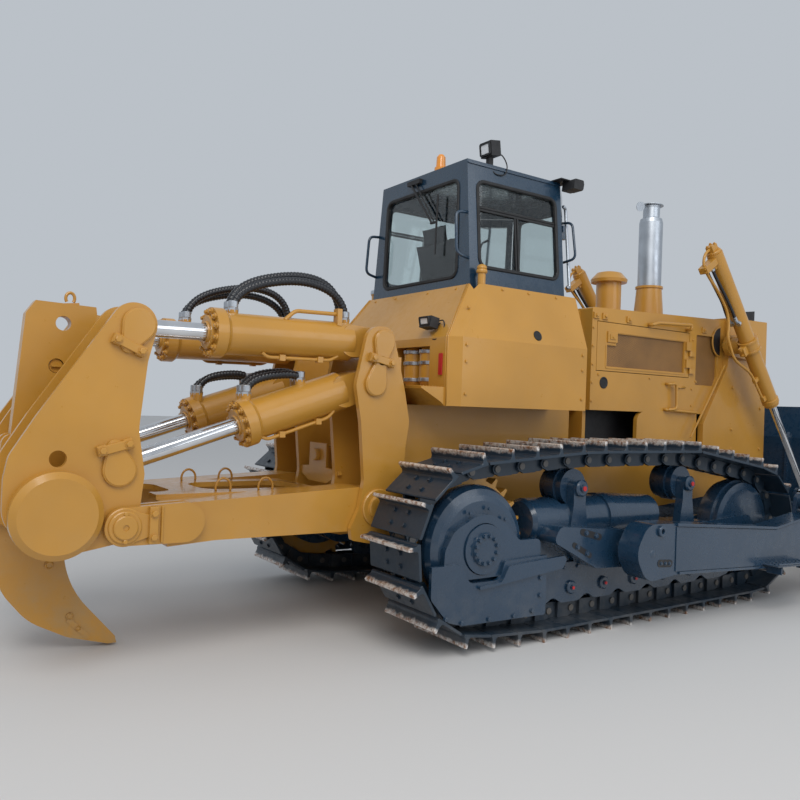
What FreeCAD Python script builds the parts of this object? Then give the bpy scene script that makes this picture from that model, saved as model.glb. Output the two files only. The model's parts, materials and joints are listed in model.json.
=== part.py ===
import FreeCAD, Part
import os
from math import asin, atan2, cos, degrees, hypot, pi, radians, sin, tan
from types import SimpleNamespace

# Crawler bulldozer with a semi-U blade and a parallelogram ripper.
# Every piece is drawn from the sprocket axle: x forward, y to the left, z up from the ground.
# frame_middle then moves the pieces so that the origin lies under the middle of the whole machine.

SIZES = {
    # Whole machine
    "frame_middle": 1489.0,        # middle of the overall length, ahead of the sprocket axle
    "seat_gap": 0.3,               # gap between a curved piece and the seat that carries it
    "shaft_gap": 0.05,             # gap round a shaft or rod in its bore
    "running_gap": 6.0,            # gap beside every piece that moves
    # Tracks
    "axle_z": 680.0,               # sprocket axle above the ground
    "track_y": 1070.0,             # middle of each track from the middle of the machine
    "shoe_wide": 560.0,
    "link_pitch": 228.6,
    "link_count": 41,
    "sprocket_teeth": 27,
    "pin_to_tip": 152.0,           # track pin to the tip of the grouser
    "tip_relief": 4.0,             # tips beside the flat run stand back this much, so that the flat run carries
    "pin_to_plate": 60.0,          # track pin to the inner face of the shoe plate
    "plate_thick": 20.0,
    "grouser_thick": 24.0,
    "pin_to_rail": 52.0,           # track pin to the rail that the rollers run on
    "link_row_inner": 52.0,        # inner face of a row of links from the middle of the track
    "link_row_outer": 98.0,
    "idler_x": 3170.0,
    "idler_pin_radius": 470.0,     # radius on which the pins go round the idler
    "carrier_back_x": 960.0,
    "carrier_front_x": 2250.0,
    "carrier_z": 1043.0,
    "carrier_radius": 145.0,
    "roller_first_x": 560.0,
    "roller_step": 352.0,
    "roller_count": 7,
    "roller_radius": 118.0,
    "roller_flange": 16.0,         # the flange of a roller stands this much over its tread
    "belt_sag": 10.0,              # how far links cut the corner over the carriers and the first roller
    # Track frames
    "frame_half": 130.0,           # half width of a track frame
    "frame_low": 466.0,
    "frame_high": 730.0,
    "guard_thick": 26.0,
    "guard_high": 506.0,           # top of the roller guards
    "yoke_inner": 112.0,           # inner face of the plates that hold the idler, from the middle of the track
    "yoke_outer": 138.0,
    "post_gap": 108.0,             # inner face of the posts of the carrier rollers
    "spring_radius": 165.0,
    "trunnion_x": 1290.0,
    "trunnion_y": 1560.0,
    "trunnion_z": 605.0,
    "trunnion_radius": 95.0,
    "final_radius": 412.0,         # final drive housing
    "final_out": 1262.0,           # its flat outer face
    "hub_radius": 112.0,
    "hub_seat": 170.0,             # hub foot that the outer plate fits round
    "final_core": 300.0,           # drum that carries the sprocket
    # Hull, tank, hood and guard
    "hull_half": 500.0,
    "hull_rear_x": -260.0,
    "hull_top": 1610.0,
    "hull_low": 520.0,
    "belly_z": 700.0,              # underside of the hull under the engine
    "tank_rear_x": 10.0,
    "tank_front_x": 1360.0,
    "tank_half": 910.0,
    "tank_break": 2103.0,          # height where the upright sides turn into the slopes
    "tank_top": 2525.0,
    "tank_top_half": 764.0,
    "tank_top_rear_x": 300.0,
    "tank_corner": 75.0,           # bevel of the rear corners
    "hood_half": 560.0,
    "hood_rear_x": 1802.0,
    "cowl_rear_x": 1742.0,         # narrower rear end of the hood, clear of the swing of the cab doors
    "cowl_half": 420.0,
    "hood_front_x": 3760.0,
    "hood_rear_top": 2517.0,
    "hood_front_top": 2578.0,
    "hood_low": 1622.0,
    "stack_x": 3269.0,
    "stack_base_radius": 152.0,
    "cleaner_x": 2650.0,
    "cleaner_radius": 120.0,
    "sheet": 40.0,                 # doors, hood and cab walls through their whole thickness
    "door_rear_x": 1866.0,
    "door_front_x": 3190.0,
    "door_low": 1966.0,
    "door_high": 2404.0,
    "lug_out": 13.0,               # hinge line of the doors from the face of the hood
    "guard_half": 620.0,
    "guard_long": 670.0,           # radiator guard ahead of the hood
    "guard_low": 1150.0,
    # Cab
    "cab_rear_x": 320.0,
    "cab_side_x": 1330.0,          # where the sides turn into the doors
    "cab_front_x": 1690.0,
    "cab_floor": 1990.0,
    "cab_top": 3496.0,
    "cab_low_half": 722.0,         # half width at the floor
    "cab_top_half": 578.0,
    "knuckle_out": 14.0,           # hinge line of the doors from the face of the cab
    "cab_nose_half": 330.0,        # half width of the windscreen at the floor
    # Blade
    "blade_half": 2015.0,
    "blade_wing_y": 1415.0,        # where the wings begin
    "blade_wing_reach": 280.0,     # how far the tips of the wings stand ahead
    "blade_back_x": 5160.0,
    "blade_low": 15.0,
    "blade_high": 1745.0,
    "arm_thick": 180.0,
    "lift_y": 835.0,
    "lift_pivot_x": 3747.0,
    "lift_pivot_z": 2316.0,
    "lift_eye_x": 4900.0,
    "lift_eye_z": 800.0,
    "lift_barrel_radius": 74.0,
    "lift_rod_radius": 35.0,
    "lift_barrel_back": 1025.0,    # barrel behind its pivot
    "lift_barrel_ahead": 700.0,    # barrel ahead of its pivot
    # Ripper
    "tilt_pin_x": -440.0,          # upper pin on the bracket
    "tilt_pin_z": 2035.0,
    "raise_pin_x": -500.0,         # middle pin on the bracket
    "raise_pin_z": 1740.0,
    "arm_pin_x": -440.0,           # lower pin on the bracket
    "arm_pin_z": 895.0,
    "tilt_eye_x": -2090.0,         # the same three pins on the carrier
    "tilt_eye_z": 2010.0,
    "raise_eye_x": -2170.0,
    "raise_eye_z": 1178.0,
    "carrier_pin_x": -2142.0,
    "carrier_pin_z": 859.0,
    "ripper_plate": 40.0,          # thickness of the outer plates
    "ripper_half": 640.0,          # outer face of the carrier's plates
    "ripper_inner": 300.0,         # inner face of the inner plates
    "cylinder_y": 470.0,
    "ripper_barrel_radius": 134.0,
    "ripper_rod_radius": 54.0,
    "ripper_eye_half": 70.0,
    "ripper_eye_radius": 92.0,
    "ripper_pin_radius": 55.0,
    "tilt_gland": 1163.0,          # gland of the upper cylinder from its pin
    "raise_gland": 928.0,
    "drum_x": -2500.0,
    "drum_z": 940.0,
    "drum_radius": 240.0,
    "shank_half": 50.0,
    # Hoses and lamps
    "hose_radius": 24.0,
    "hose_inner_y": 400.0,         # inner hose of each pair; the outer one is over the cylinder
    "port_radius": 34.0,
}

doc = FreeCAD.newDocument("bulldozer")
sheet = doc.addObject("Spreadsheet::Sheet", "Sizes")
for row, (word, value) in enumerate(SIZES.items(), start=1):
    sheet.set("A%d" % row, word)
    sheet.set("B%d" % row, str(value))
    sheet.setAlias("B%d" % row, word)
doc.recompute()
v = SimpleNamespace(**{word: float(sheet.get(word)) for word in SIZES})

v.guard_front_x = v.hood_front_x + v.guard_long

RIGHT, LEFT = -1, 1
SIDES = (("right", RIGHT), ("left", LEFT))
NODES = []


# Drawing helpers

def vector(x, y):
    return FreeCAD.Vector(x, y, 0)


def loop(corners, closed=True):
    """Outline through corners (x, y) or (x, y, r), where r rounds that corner with an arc."""
    count = len(corners)
    starts, ends, arcs = [], [], []
    for i, corner in enumerate(corners):
        here = vector(corner[0], corner[1])
        radius = corner[2] if len(corner) > 2 else 0
        if not radius:
            starts.append(here)
            ends.append(here)
            continue
        back = (vector(*corners[i - 1][:2]) - here).normalize()
        ahead = (vector(*corners[(i + 1) % count][:2]) - here).normalize()
        half = back.getAngle(ahead) / 2
        run = radius / tan(half)
        middle = (back + ahead).normalize()
        centre = here + middle * (radius / sin(half))
        starts.append(here + back * run)
        ends.append(here + ahead * run)
        arcs.append(Part.Arc(starts[-1], centre - middle * radius, ends[-1]))
    lines = []
    for i in range(0 if closed else 1, count):
        if ends[i - 1].distanceToPoint(starts[i]) > 1e-6:
            lines.append(Part.LineSegment(ends[i - 1], starts[i]))
    return lines + arcs


def hole(x, y, radius):
    return [Part.Circle(vector(x, y), FreeCAD.Vector(0, 0, 1), radius)]


def box(x0, x1, y0, y1):
    return loop([(x0, y0), (x1, y0), (x1, y1), (x0, y1)])


def new_body(label):
    body = doc.addObject("PartDesign::Body", label)
    body.Label = label
    body.AllowCompound = True
    body.setExpression(".Placement.Base.x", "-Sizes.frame_middle")
    NODES.append(body)
    return body


def plane_of(body, role):
    return [item for item in body.Origin.OriginFeatures if item.Role == role][0]


def sketch_on(body, role, offset, geometry, axis=None):
    sketch = body.newObject("Sketcher::SketchObject", "Outline")
    sketch.AttachmentSupport = [(plane_of(body, role), "")]
    sketch.MapMode = "FlatFace"
    sketch.setExpression(".AttachmentOffset.Base.z", str(offset))
    if axis:
        sketch.addGeometry(axis, True)
    sketch.addGeometry(geometry)
    return sketch


def feature(body, kind, sketch, length):
    made = body.newObject("PartDesign::" + kind, kind)
    made.Profile = sketch
    made.setExpression("Length", "(%s)" % length)
    return made


def across(body, geometry, low, high, kind="Pad"):
    """Outline in the side view (x, z), carried from y = low to y = high."""
    reverse = kind == "Pocket"
    offset = "-(%s)" % (low if reverse else high)
    return feature(body, kind, sketch_on(body, "XZ_Plane", offset, geometry), "(%s)-(%s)" % (high, low))


def upright(body, geometry, low, high, kind="Pad"):
    """Outline in plan (x, y), carried from z = low to z = high."""
    offset = high if kind == "Pocket" else low
    return feature(body, kind, sketch_on(body, "XY_Plane", offset, geometry), "(%s)-(%s)" % (high, low))


def along(body, geometry, low, high, kind="Pad"):
    """Outline in the end view (y, z), carried from x = low to x = high."""
    offset = high if kind == "Pocket" else low
    return feature(body, kind, sketch_on(body, "YZ_Plane", offset, geometry), "(%s)-(%s)" % (high, low))


def beside(side, near, far):
    """The two y values of a piece between near and far from the middle, low one first."""
    if side == LEFT:
        return "(%s)" % near, "(%s)" % far
    return "-(%s)" % far, "-(%s)" % near


def turned(body, role, offset, start, angle, profile, kind="Revolution"):
    """Profile of (distance along the axis, radius) turned round an axis that leaves start at angle degrees."""
    u = vector(cos(radians(angle)), sin(radians(angle)))
    n = vector(-u.y, u.x)
    origin = vector(*start)
    points = [origin + u * t + n * r for t, r in profile]
    lines = [Part.LineSegment(points[i - 1], points[i]) for i in range(len(points))]
    axis = Part.LineSegment(origin, origin + u * 100)
    sketch = sketch_on(body, role, offset, lines, axis)
    made = body.newObject("PartDesign::" + kind, kind)
    made.Profile = sketch
    made.ReferenceAxis = (sketch, ["Axis0"])
    made.Angle = 360
    return made


def turned_across(body, x, z, profile, kind="Revolution"):
    """Profile of (y, radius) turned round the line across the machine at x, z."""
    return turned(body, "XY_Plane", z, (x, 0), 90, profile, kind)


def hose(body, y, corners, radius):
    """Round hose in the upright plane at y, along a path that starts straight up."""
    spine = sketch_on(body, "XZ_Plane", -y, loop(corners, closed=False))
    start = sketch_on(body, "XY_Plane", corners[0][1], hole(corners[0][0], y, radius))
    pipe = body.newObject("PartDesign::AdditivePipe", "Hose")
    pipe.Profile = start
    pipe.Spine = spine
    return pipe


def stadium(x0, z0, x1, z1, radius0, radius1):
    """Outline of two round ends joined by tangent lines."""
    length = hypot(x1 - x0, z1 - z0)
    heading = atan2(z1 - z0, x1 - x0)
    lean = atan2((radius0 - radius1) / length, (1 - ((radius0 - radius1) / length) ** 2) ** 0.5)
    up, down = heading + pi / 2 - lean, heading - pi / 2 + lean

    def at(x, z, radius, angle):
        return vector(x + radius * cos(angle), z + radius * sin(angle))

    a, b = at(x0, z0, radius0, up), at(x1, z1, radius1, up)
    c, d = at(x1, z1, radius1, down), at(x0, z0, radius0, down)
    return [
        Part.LineSegment(a, b),
        Part.Arc(b, at(x1, z1, radius1, heading), c),
        Part.LineSegment(c, d),
        Part.Arc(d, at(x0, z0, radius0, heading + pi), a),
    ]


# Track path: a belt round the sprocket, the carrier rollers, the idler and the first track roller

def belt_path():
    """The belt of pins as lines and arcs, clockwise from the top of the idler back to the sprocket."""
    pin_z = v.pin_to_tip
    sprocket_radius = v.link_pitch * v.sprocket_teeth / 2 / (2 * pi)
    lift = v.carrier_radius + v.pin_to_rail
    wheels = [
        (v.idler_x, pin_z + v.idler_pin_radius, v.idler_pin_radius),
        (v.carrier_front_x, v.carrier_z, lift),
        (v.carrier_back_x, v.carrier_z, lift),
        (0.0, v.axle_z, sprocket_radius),
        (v.roller_first_x, pin_z + lift, lift),
    ]
    joins = []
    for i, (x0, z0, r0) in enumerate(wheels):
        x1, z1, r1 = wheels[(i + 1) % len(wheels)]
        length = hypot(x1 - x0, z1 - z0)
        heading = atan2(z1 - z0, x1 - x0)
        out = heading - pi / 2 + atan2(r1 - r0, (length ** 2 - (r1 - r0) ** 2) ** 0.5) * -1
        joins.append(out)
    path = []
    for i, (x0, z0, r0) in enumerate(wheels):
        x1, z1, r1 = wheels[(i + 1) % len(wheels)]
        out = joins[i]
        start = (x0 + r0 * cos(out), z0 + r0 * sin(out))
        end = (x1 + r1 * cos(out), z1 + r1 * sin(out))
        path.append(("line", start, end, hypot(end[0] - start[0], end[1] - start[1])))
        turn = (joins[(i + 1) % len(wheels)] - out) % (2 * pi)
        path.append(("arc", (x1, z1, r1), (out, turn), r1 * turn))
    return path


def on_path(path, run):
    """Point of the belt at a length run along it."""
    for kind, a, b, length in path:
        if run <= length:
            if kind == "line":
                share = run / length
                return a[0] + (b[0] - a[0]) * share, a[1] + (b[1] - a[1]) * share
            angle = b[0] + run / a[2]
            return a[0] + a[2] * cos(angle), a[1] + a[2] * sin(angle)
        run -= length
    return on_path(path, run)


def track_pins():
    path = belt_path()
    total = sum(piece[3] for piece in path)
    step = total / v.link_count
    return [on_path(path, (i + 0.3) * step) for i in range(int(v.link_count))]


def shoe_points(pins, i, stations):
    """Points (along, out) of one link in the frame of its two pins."""
    (x0, z0), (x1, z1) = pins[i], pins[(i + 1) % len(pins)]
    length = hypot(x1 - x0, z1 - z0)
    ux, uz = (x1 - x0) / length, (z1 - z0) / length
    nx, nz = uz, -ux
    return [(x0 + ux * t * length + nx * n, z0 + uz * t * length + nz * n) for t, n in stations]


def rail_radius(pin_radius):
    """Largest wheel that fits inside the rails of links whose pins go round at pin_radius."""
    half = asin(v.link_pitch / 2 / pin_radius)
    return (pin_radius * cos(half) - v.pin_to_rail) * cos(half)


def make_tracks():
    pins = track_pins()
    plate_out = v.pin_to_plate + v.plate_thick
    grouser = v.grouser_thick / v.link_pitch
    outer, inner, rail = [], [], []
    for i in range(len(pins)):
        highest = max(pins[i][1], pins[(i + 1) % len(pins)][1])
        tip = v.pin_to_tip - (v.tip_relief if highest > v.pin_to_tip + 0.01 else 0)
        outer += shoe_points(pins, i, [(0.02, plate_out), (0.02, tip), (0.02 + grouser, tip),
                                       (0.04 + grouser, plate_out)])
        inner += shoe_points(pins, i, [(0.5, v.pin_to_plate)])
        rail += shoe_points(pins, i, [(0.5, -v.pin_to_rail)])
    for name, side in SIDES:
        body = new_body("track_" + name)
        low, high = beside(side, "Sizes.track_y-Sizes.shoe_wide/2", "Sizes.track_y+Sizes.shoe_wide/2")
        across(body, loop(outer) + loop(inner), low, high)
        for near, far in (("-Sizes.link_row_outer", "-Sizes.link_row_inner"),
                          ("Sizes.link_row_inner", "Sizes.link_row_outer")):
            low, high = beside(side, "Sizes.track_y+" + near, "Sizes.track_y+" + far)
            across(body, loop(outer) + loop(rail), low, high)


def make_sprockets():
    pitch_radius = v.link_pitch * v.sprocket_teeth / 2 / (2 * pi)
    step = 2 * pi / v.sprocket_teeth
    pins = track_pins()
    x, z = min(pins, key=lambda pin: pin[0])
    phase = atan2(z - v.axle_z, x)
    teeth = []
    for i in range(int(v.sprocket_teeth)):
        for share, radius in ((-0.30, pitch_radius - 38), (0.30, pitch_radius - 38),
                              (0.42, pitch_radius + 16), (0.58, pitch_radius + 16)):
            angle = phase + (i + share) * step
            teeth.append((radius * cos(angle), v.axle_z + radius * sin(angle)))
    body = new_body("sprockets")
    for side in (RIGHT, LEFT):
        low, high = beside(side, "Sizes.track_y-40", "Sizes.track_y+40")
        across(body, loop(teeth) + hole(0, v.axle_z, v.final_core + v.seat_gap), low, high)


def make_rollers():
    tread = v.roller_radius - v.seat_gap
    row_in, row_out = v.link_row_inner - 6, v.link_row_outer + 8
    places = [(v.roller_first_x + i * v.roller_step, v.pin_to_tip + v.pin_to_rail + v.roller_radius,
               tread - (0 if i else v.belt_sag)) for i in range(int(v.roller_count))]
    places += [(x, v.carrier_z, v.carrier_radius - v.belt_sag) for x in (v.carrier_back_x, v.carrier_front_x)]
    body = new_body("track_rollers")
    for side in (RIGHT, LEFT):
        for x, z, radius in places:
            flange = radius + v.roller_flange
            axle = v.frame_half if z < v.carrier_z else v.post_gap
            profile = [(-axle, 0), (-axle, 45), (-row_out, 45), (-row_out, radius), (-row_in, radius),
                       (-row_in, flange), (row_in, flange), (row_in, radius), (row_out, radius), (row_out, 45),
                       (axle, 45), (axle, 0)]
            turned_across(body, x, z, [(side * (v.track_y + t), r) for t, r in profile])


def make_idlers():
    tread = rail_radius(v.idler_pin_radius) - v.seat_gap
    z = v.pin_to_tip + v.idler_pin_radius
    yoke = v.yoke_inner
    body = new_body("idlers")
    for side in (RIGHT, LEFT):
        profile = [(-yoke, 0), (-yoke, 110), (-104, 110), (-104, tread - 60), (-96, tread), (-46, tread),
                   (-46, tread + 22), (46, tread + 22), (46, tread), (96, tread), (104, tread - 60), (104, 110),
                   (yoke, 110), (yoke, 0)]
        turned_across(body, v.idler_x, z, [(side * (v.track_y + t), r) for t, r in profile])


def make_final_drives():
    inside = rail_radius(v.link_pitch * v.sprocket_teeth / 2 / (2 * pi)) - v.running_gap
    core, hub = v.final_core, v.hub_radius
    clear = v.track_y + v.link_row_outer + v.running_gap
    body = new_body("final_drives")
    for side in (RIGHT, LEFT):
        profile = [(v.hull_half, 0), (v.hull_half, 250), (930, 250), (930, 330), (v.track_y - 40, 330),
                   (v.track_y - 40, core), (v.track_y + 40, core), (v.track_y + 40, 345), (1126, 345),
                   (1126, inside), (clear, inside), (clear, v.final_radius), (1200, v.final_radius - 4),
                   (1235, v.final_radius - 24), (1256, v.final_radius - 66), (v.final_out, 310),
                   (v.final_out, v.hub_seat), (1318, v.hub_seat - 5), (1318, hub), (1334, hub - 6), (1334, 0)]
        turned_across(body, 0, v.axle_z, [(side * t, r) for t, r in profile])


def make_track_frames():
    mid = "Sizes.track_y"
    low, high = v.frame_low, v.frame_high
    idler_z = v.pin_to_tip + v.idler_pin_radius
    rail_z = v.pin_to_tip + v.pin_to_rail
    box_side = loop([(540, low), (2720, low), (2720, high - 90), (2600, high - 20, 60), (1500, high, 60),
                     (540, high)])
    yoke = loop([(2500, low + 10), (v.idler_x + 60, idler_z - 110, 60), (v.idler_x + 120, idler_z, 40),
                 (v.idler_x + 60, idler_z + 110, 60), (2500, high - 30)])
    roller_guard = [(v.roller_first_x - 230, rail_z + 40, 60)]
    for i in range(int(v.roller_count)):
        x = v.roller_first_x + i * v.roller_step
        roller_guard += [(x - 90, rail_z + 12, 60), (x + 90, rail_z + 12, 60),
                         (x + v.roller_step / 2, rail_z + 62, 60)]
    roller_guard = roller_guard[:-1]
    last = v.roller_first_x + (v.roller_count - 1) * v.roller_step
    roller_guard += [(last + 230, rail_z + 40, 40), (last + 210, v.guard_high), (v.roller_first_x - 130, v.guard_high)]
    # Arch and plate outside the final drive, cut away round its hub, and the rib that stiffens them
    arch = loop([(-330, 490), (-322, 690, 90), (-248, 812, 150), (-61, 903, 150), (70, 903, 150), (200, 830, 120),
                 (317, 716, 50), (516, 715, 40), (520, 490)]) + hole(0, v.axle_z, v.hub_seat + v.seat_gap)
    lower_guard = loop([(-440, 400, 50), (-300, 240, 60), (-180, 205, 80), (560, 190, 20), (560, 600),
                        (170, 590, 20), (130, 470, 60), (-130, 470, 60), (-200, 600), (-440, 600)])
    rib = loop([(-60, 425, 10), (700, 500, 20), (760, 590, 30), (190, 560, 20), (130, 458, 40), (-60, 450, 10)])
    guard_in, guard_out = mid + "+232", mid + "+258"
    body = new_body("track_frames")
    for side in (RIGHT, LEFT):
        across(body, box_side, *beside(side, mid + "-Sizes.frame_half", mid + "+Sizes.frame_half"))
        for near, far in (("-Sizes.yoke_outer", "-Sizes.yoke_inner"), ("+Sizes.yoke_inner", "+Sizes.yoke_outer")):
            across(body, yoke, *beside(side, mid + near, mid + far))
        for near, far in (("-Sizes.frame_half-Sizes.guard_thick", "-Sizes.frame_half"),
                          ("+Sizes.frame_half", "+Sizes.frame_half+Sizes.guard_thick")):
            across(body, loop(roller_guard), *beside(side, mid + near, mid + far))
        turned(body, "XZ_Plane", -side * v.track_y, (530, high + 70), 0,
               [(0, 0), (0, v.spring_radius - 25), (25, v.spring_radius), (780, v.spring_radius),
                (780, v.spring_radius + 14), (860, v.spring_radius + 14), (1400, v.spring_radius - 20), (1400, 0)])
        for x in (v.carrier_back_x, v.carrier_front_x):
            saddle = v.carrier_radius + v.roller_flange + v.running_gap
            low_y, high_y = side * (v.track_y - v.post_gap - 8), side * (v.track_y + v.post_gap)
            turned_across(body, x, v.carrier_z, [(low_y, 0), (low_y, saddle), (high_y, saddle), (high_y, 0)], "Groove")
        across(body, arch, *beside(side, "Sizes.final_out+Sizes.seat_gap", "1305"))
        across(body, lower_guard, *beside(side, guard_in, guard_out))
        across(body, box(440, 560, 300, 590), *beside(side, mid + "+Sizes.frame_half", guard_in))
        across(body, rib, *beside(side, guard_out, guard_out + "+22"))
        for x in (v.carrier_back_x, v.carrier_front_x):
            outline = [(x + c[0], high - 10 + c[1]) + tuple(c[2:]) for c in
                       ((-110, -60), (-85, 70), (-62, 200), (-66, 375, 55), (66, 375, 55), (62, 200), (85, 70),
                        (110, -60))]
            across(body, loop(outline), *beside(side, mid + "+Sizes.post_gap", mid + "+Sizes.post_gap+70"))
        # Casting that carries the trunnion of the blade arm
        casting = loop([(560, 700, 40), (620, 800, 60), (v.trunnion_x + 60, v.trunnion_z + 130, 60),
                        (v.trunnion_x + 130, v.trunnion_z, 60), (v.trunnion_x + 40, v.trunnion_z - 140, 60),
                        (1000, 480, 60)])
        across(body, casting, *beside(side, mid + "+Sizes.frame_half", mid + "+Sizes.frame_half+190"))
        reach = v.track_y + v.frame_half + 190
        ball = v.trunnion_radius
        profile = [(reach - 20, 0), (reach - 20, 66), (v.trunnion_y - ball * 0.5, 66)]
        profile += [(v.trunnion_y + ball * sin(radians(a)), ball * cos(radians(a))) for a in range(-30, 90, 15)]
        profile += [(v.trunnion_y + ball, 0)]
        turned_across(body, v.trunnion_x, v.trunnion_z, [(side * t, r) for t, r in profile])


# Hull, engine, tank, cab and hood

def make_hull():
    body = new_body("main_frame")
    rear, half = v.hull_rear_x, "Sizes.hull_half"
    case = loop([(rear, 780, 40), (rear + 200, v.hull_low, 60), (1500, v.hull_low), (1500, v.hull_top),
                 (rear, v.hull_top)])
    across(body, case, "-" + half, half)
    across(body, box(v.tank_front_x + 4, 1700, v.guard_low + 100, v.cab_floor), -420, 420)
    rails = loop([(1500, v.hull_low), (2300, v.hull_low, 80), (2500, v.belly_z, 80), (v.guard_front_x - 160, 860, 120),
                  (v.guard_front_x - 20, v.guard_low - 60, 60), (v.guard_front_x - 20, v.guard_low + 30),
                  (v.hood_front_x - 200, v.guard_low + 30, 60), (3340, v.guard_low + 100, 60),
                  (1500, v.guard_low + 100)])
    across(body, rails, "-" + half, "-" + half + "+90")
    across(body, rails, half + "-90", half)
    belly = loop([(1500, v.hull_low), (2300, v.hull_low, 80), (2500, v.belly_z, 80), (v.guard_front_x - 160, 860, 120),
                  (v.guard_front_x - 20, v.guard_low - 60, 60), (v.guard_front_x - 20, v.guard_low + 30),
                  (v.guard_front_x - 80, v.guard_low + 30), (v.guard_front_x - 80, v.guard_low - 40, 60),
                  (v.guard_front_x - 200, 900, 120), (2480, v.belly_z + 40, 80), (2280, v.hull_low + 40, 80),
                  (1500, v.hull_low + 40)])
    across(body, belly, "-" + half + "+90", half + "-90")


def make_cross_shafts():
    body = new_body("cross_shafts")
    for side in (LEFT, RIGHT):
        turned_across(body, 660, 600, [(side * v.hull_half, 0), (side * v.hull_half, 120),
                                       (side * (v.hull_half + 60), 120), (side * (v.hull_half + 60), 90),
                                       (side * (v.track_y - v.frame_half), 90),
                                       (side * (v.track_y - v.frame_half), 0)])
    reach = v.track_y - v.yoke_outer
    foot = v.guard_high + 4
    bar = loop([(-reach, foot), (reach, foot), (reach, 640, 40), (260, 690), (-260, 690), (-reach, 640, 40)])
    along(body, bar, 2600, 2720)
    slope = (860 - v.belly_z) / (v.guard_front_x - 160 - 2500)
    low, high = (v.belly_z + (x - 2500) * slope for x in (2600, 2720))
    across(body, loop([(2600, 660), (2720, 660), (2720, high), (2600, low)]), -90, 90)


def make_engine():
    body = new_body("engine_block")
    along(body, box(-320, 320, 900, 2120), 1900, 3420)
    for x in (2000, 3180):
        along(body, box(-450, 450, v.guard_low + 100, v.guard_low + 150), x, x + 160)


def make_tank():
    body = new_body("fuel_tank")
    rear, front, half, corner = v.tank_rear_x, v.tank_front_x, v.tank_half, v.tank_corner
    top_rear, top_half = v.tank_top_rear_x, v.tank_top_half
    floor = loop([(rear, -half + corner), (rear + corner, -half), (front, -half), (front, half),
                  (rear + corner, half), (rear, half - corner)])
    upright(body, floor, "Sizes.hull_top", "Sizes.tank_break")
    wide = sketch_on(body, "XY_Plane", "Sizes.tank_break", floor)
    roof = loop([(top_rear, -top_half + corner), (top_rear + corner, -top_half), (front, -top_half),
                 (front, top_half), (top_rear + corner, top_half), (top_rear, top_half - corner)])
    narrow = sketch_on(body, "XY_Plane", "Sizes.tank_top", roof)
    loft = body.newObject("PartDesign::AdditiveLoft", "Slopes")
    loft.Profile = wide
    loft.Sections = [narrow]
    loft.Ruled = True
    half_hole = v.cab_low_half + 20
    upright(body, box(v.cab_rear_x - 14, front + 50, -half_hole, half_hole), "Sizes.cab_floor", "Sizes.tank_top+10",
            "Pocket")
    # Recess in the rear face for the accumulators, and the step below it
    across(body, box(rear - 5, rear + 190, v.tank_break - 350, v.tank_break - 60), "-620", "-170", "Pocket")
    across(body, loop([(rear - 210, 1742), (rear, 1742), (rear, 1610), (rear - 40, 1640), (rear - 210, 1730)]),
           "-Sizes.tank_half+90", "-120")
    body = new_body("accumulators")
    for y in (-300, -500):
        turned(body, "XZ_Plane", -y, (rear + 95, v.tank_break - 350), 90,
               [(0, 0), (0, 60), (30, 78), (258, 78), (288, 60), (288, 0)])


def cab_ring(z, inset):
    """Plan of the cab at height z, drawn in by inset: six sides with the doors across the front corners."""
    share = (z - v.cab_floor) / (v.cab_top - v.cab_floor)
    half = v.cab_low_half + (v.cab_top_half - v.cab_low_half) * share - inset
    nose = v.cab_nose_half - 40 * share - inset * 0.45
    rear, front = v.cab_rear_x + inset + 14 * share, v.cab_front_x - inset - 30 * share
    side = v.cab_side_x - inset * 0.45
    return loop([(rear, -half), (side, -half), (front, -nose), (front, nose), (side, half), (rear, half)])


def cab_loft(body, kind, inset, low, high):
    sketches = [sketch_on(body, "XY_Plane", z, cab_ring(z, inset)) for z in (low, high)]
    loft = body.newObject("PartDesign::" + kind, "Walls")
    loft.Profile = sketches[0]
    loft.Sections = sketches[1:]
    loft.Ruled = True
    return loft


def make_cab():
    body = new_body("cab")
    wall = v.sheet
    cab_loft(body, "AdditiveLoft", 0, v.cab_floor, v.cab_top)
    cab_loft(body, "SubtractiveLoft", wall, v.cab_floor + wall, v.cab_top - wall)
    # Side windows, rear window and windscreen
    across(body, loop([(432, 2680, 60), (1258, 2680, 60), (1258, 3335, 60), (432, 3335, 60)]), "-800", "800", "Pocket")
    along(body, loop([(-500, 2610, 60), (500, 2610, 60), (480, 3350, 60), (-480, 3350, 60)]), "Sizes.cab_rear_x-60",
          "Sizes.cab_rear_x+90", "Pocket")
    along(body, loop([(-265, 2420, 50), (265, 2420, 50), (240, 3350, 50), (-240, 3350, 50)]),
          "Sizes.cab_front_x-120", "Sizes.cab_front_x+40", "Pocket")


def door_points(z, side, shares, out, deep):
    """Corners of a strip of the slanted front corner at height z, between two shares of its length."""
    share = (z - v.cab_floor) / (v.cab_top - v.cab_floor)
    half = v.cab_low_half + (v.cab_top_half - v.cab_low_half) * share
    nose = v.cab_nose_half - 40 * share
    front = v.cab_front_x - 30 * share
    back = FreeCAD.Vector(v.cab_side_x, side * half, 0)
    run = FreeCAD.Vector(front, side * nose, 0) - back
    inward = FreeCAD.Vector(-run.y, run.x, 0).normalize() * (-side if run.x > 0 else side)
    return [back + run * shares[0] - inward * out, back + run * shares[1] - inward * out,
            back + run * shares[1] + inward * deep, back + run * shares[0] + inward * deep]


def door_quad(z, side, shares, out, deep):
    return loop([(c.x, c.y) for c in door_points(z, side, shares, out, deep)])


def door_loft(body, kind, side, shares, out, deep, low, high):
    sketches = [sketch_on(body, "XY_Plane", z, door_quad(z, side, shares, out, deep)) for z in (low, high)]
    loft = body.newObject("PartDesign::" + kind, "Panel")
    loft.Profile = sketches[0]
    loft.Sections = sketches[1:]
    loft.Ruled = True
    return loft


DOOR_SHARES = (0.10, 0.92)
DOOR_LOW, DOOR_HIGH = v.cab_floor + 70, v.cab_top - 110


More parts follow.
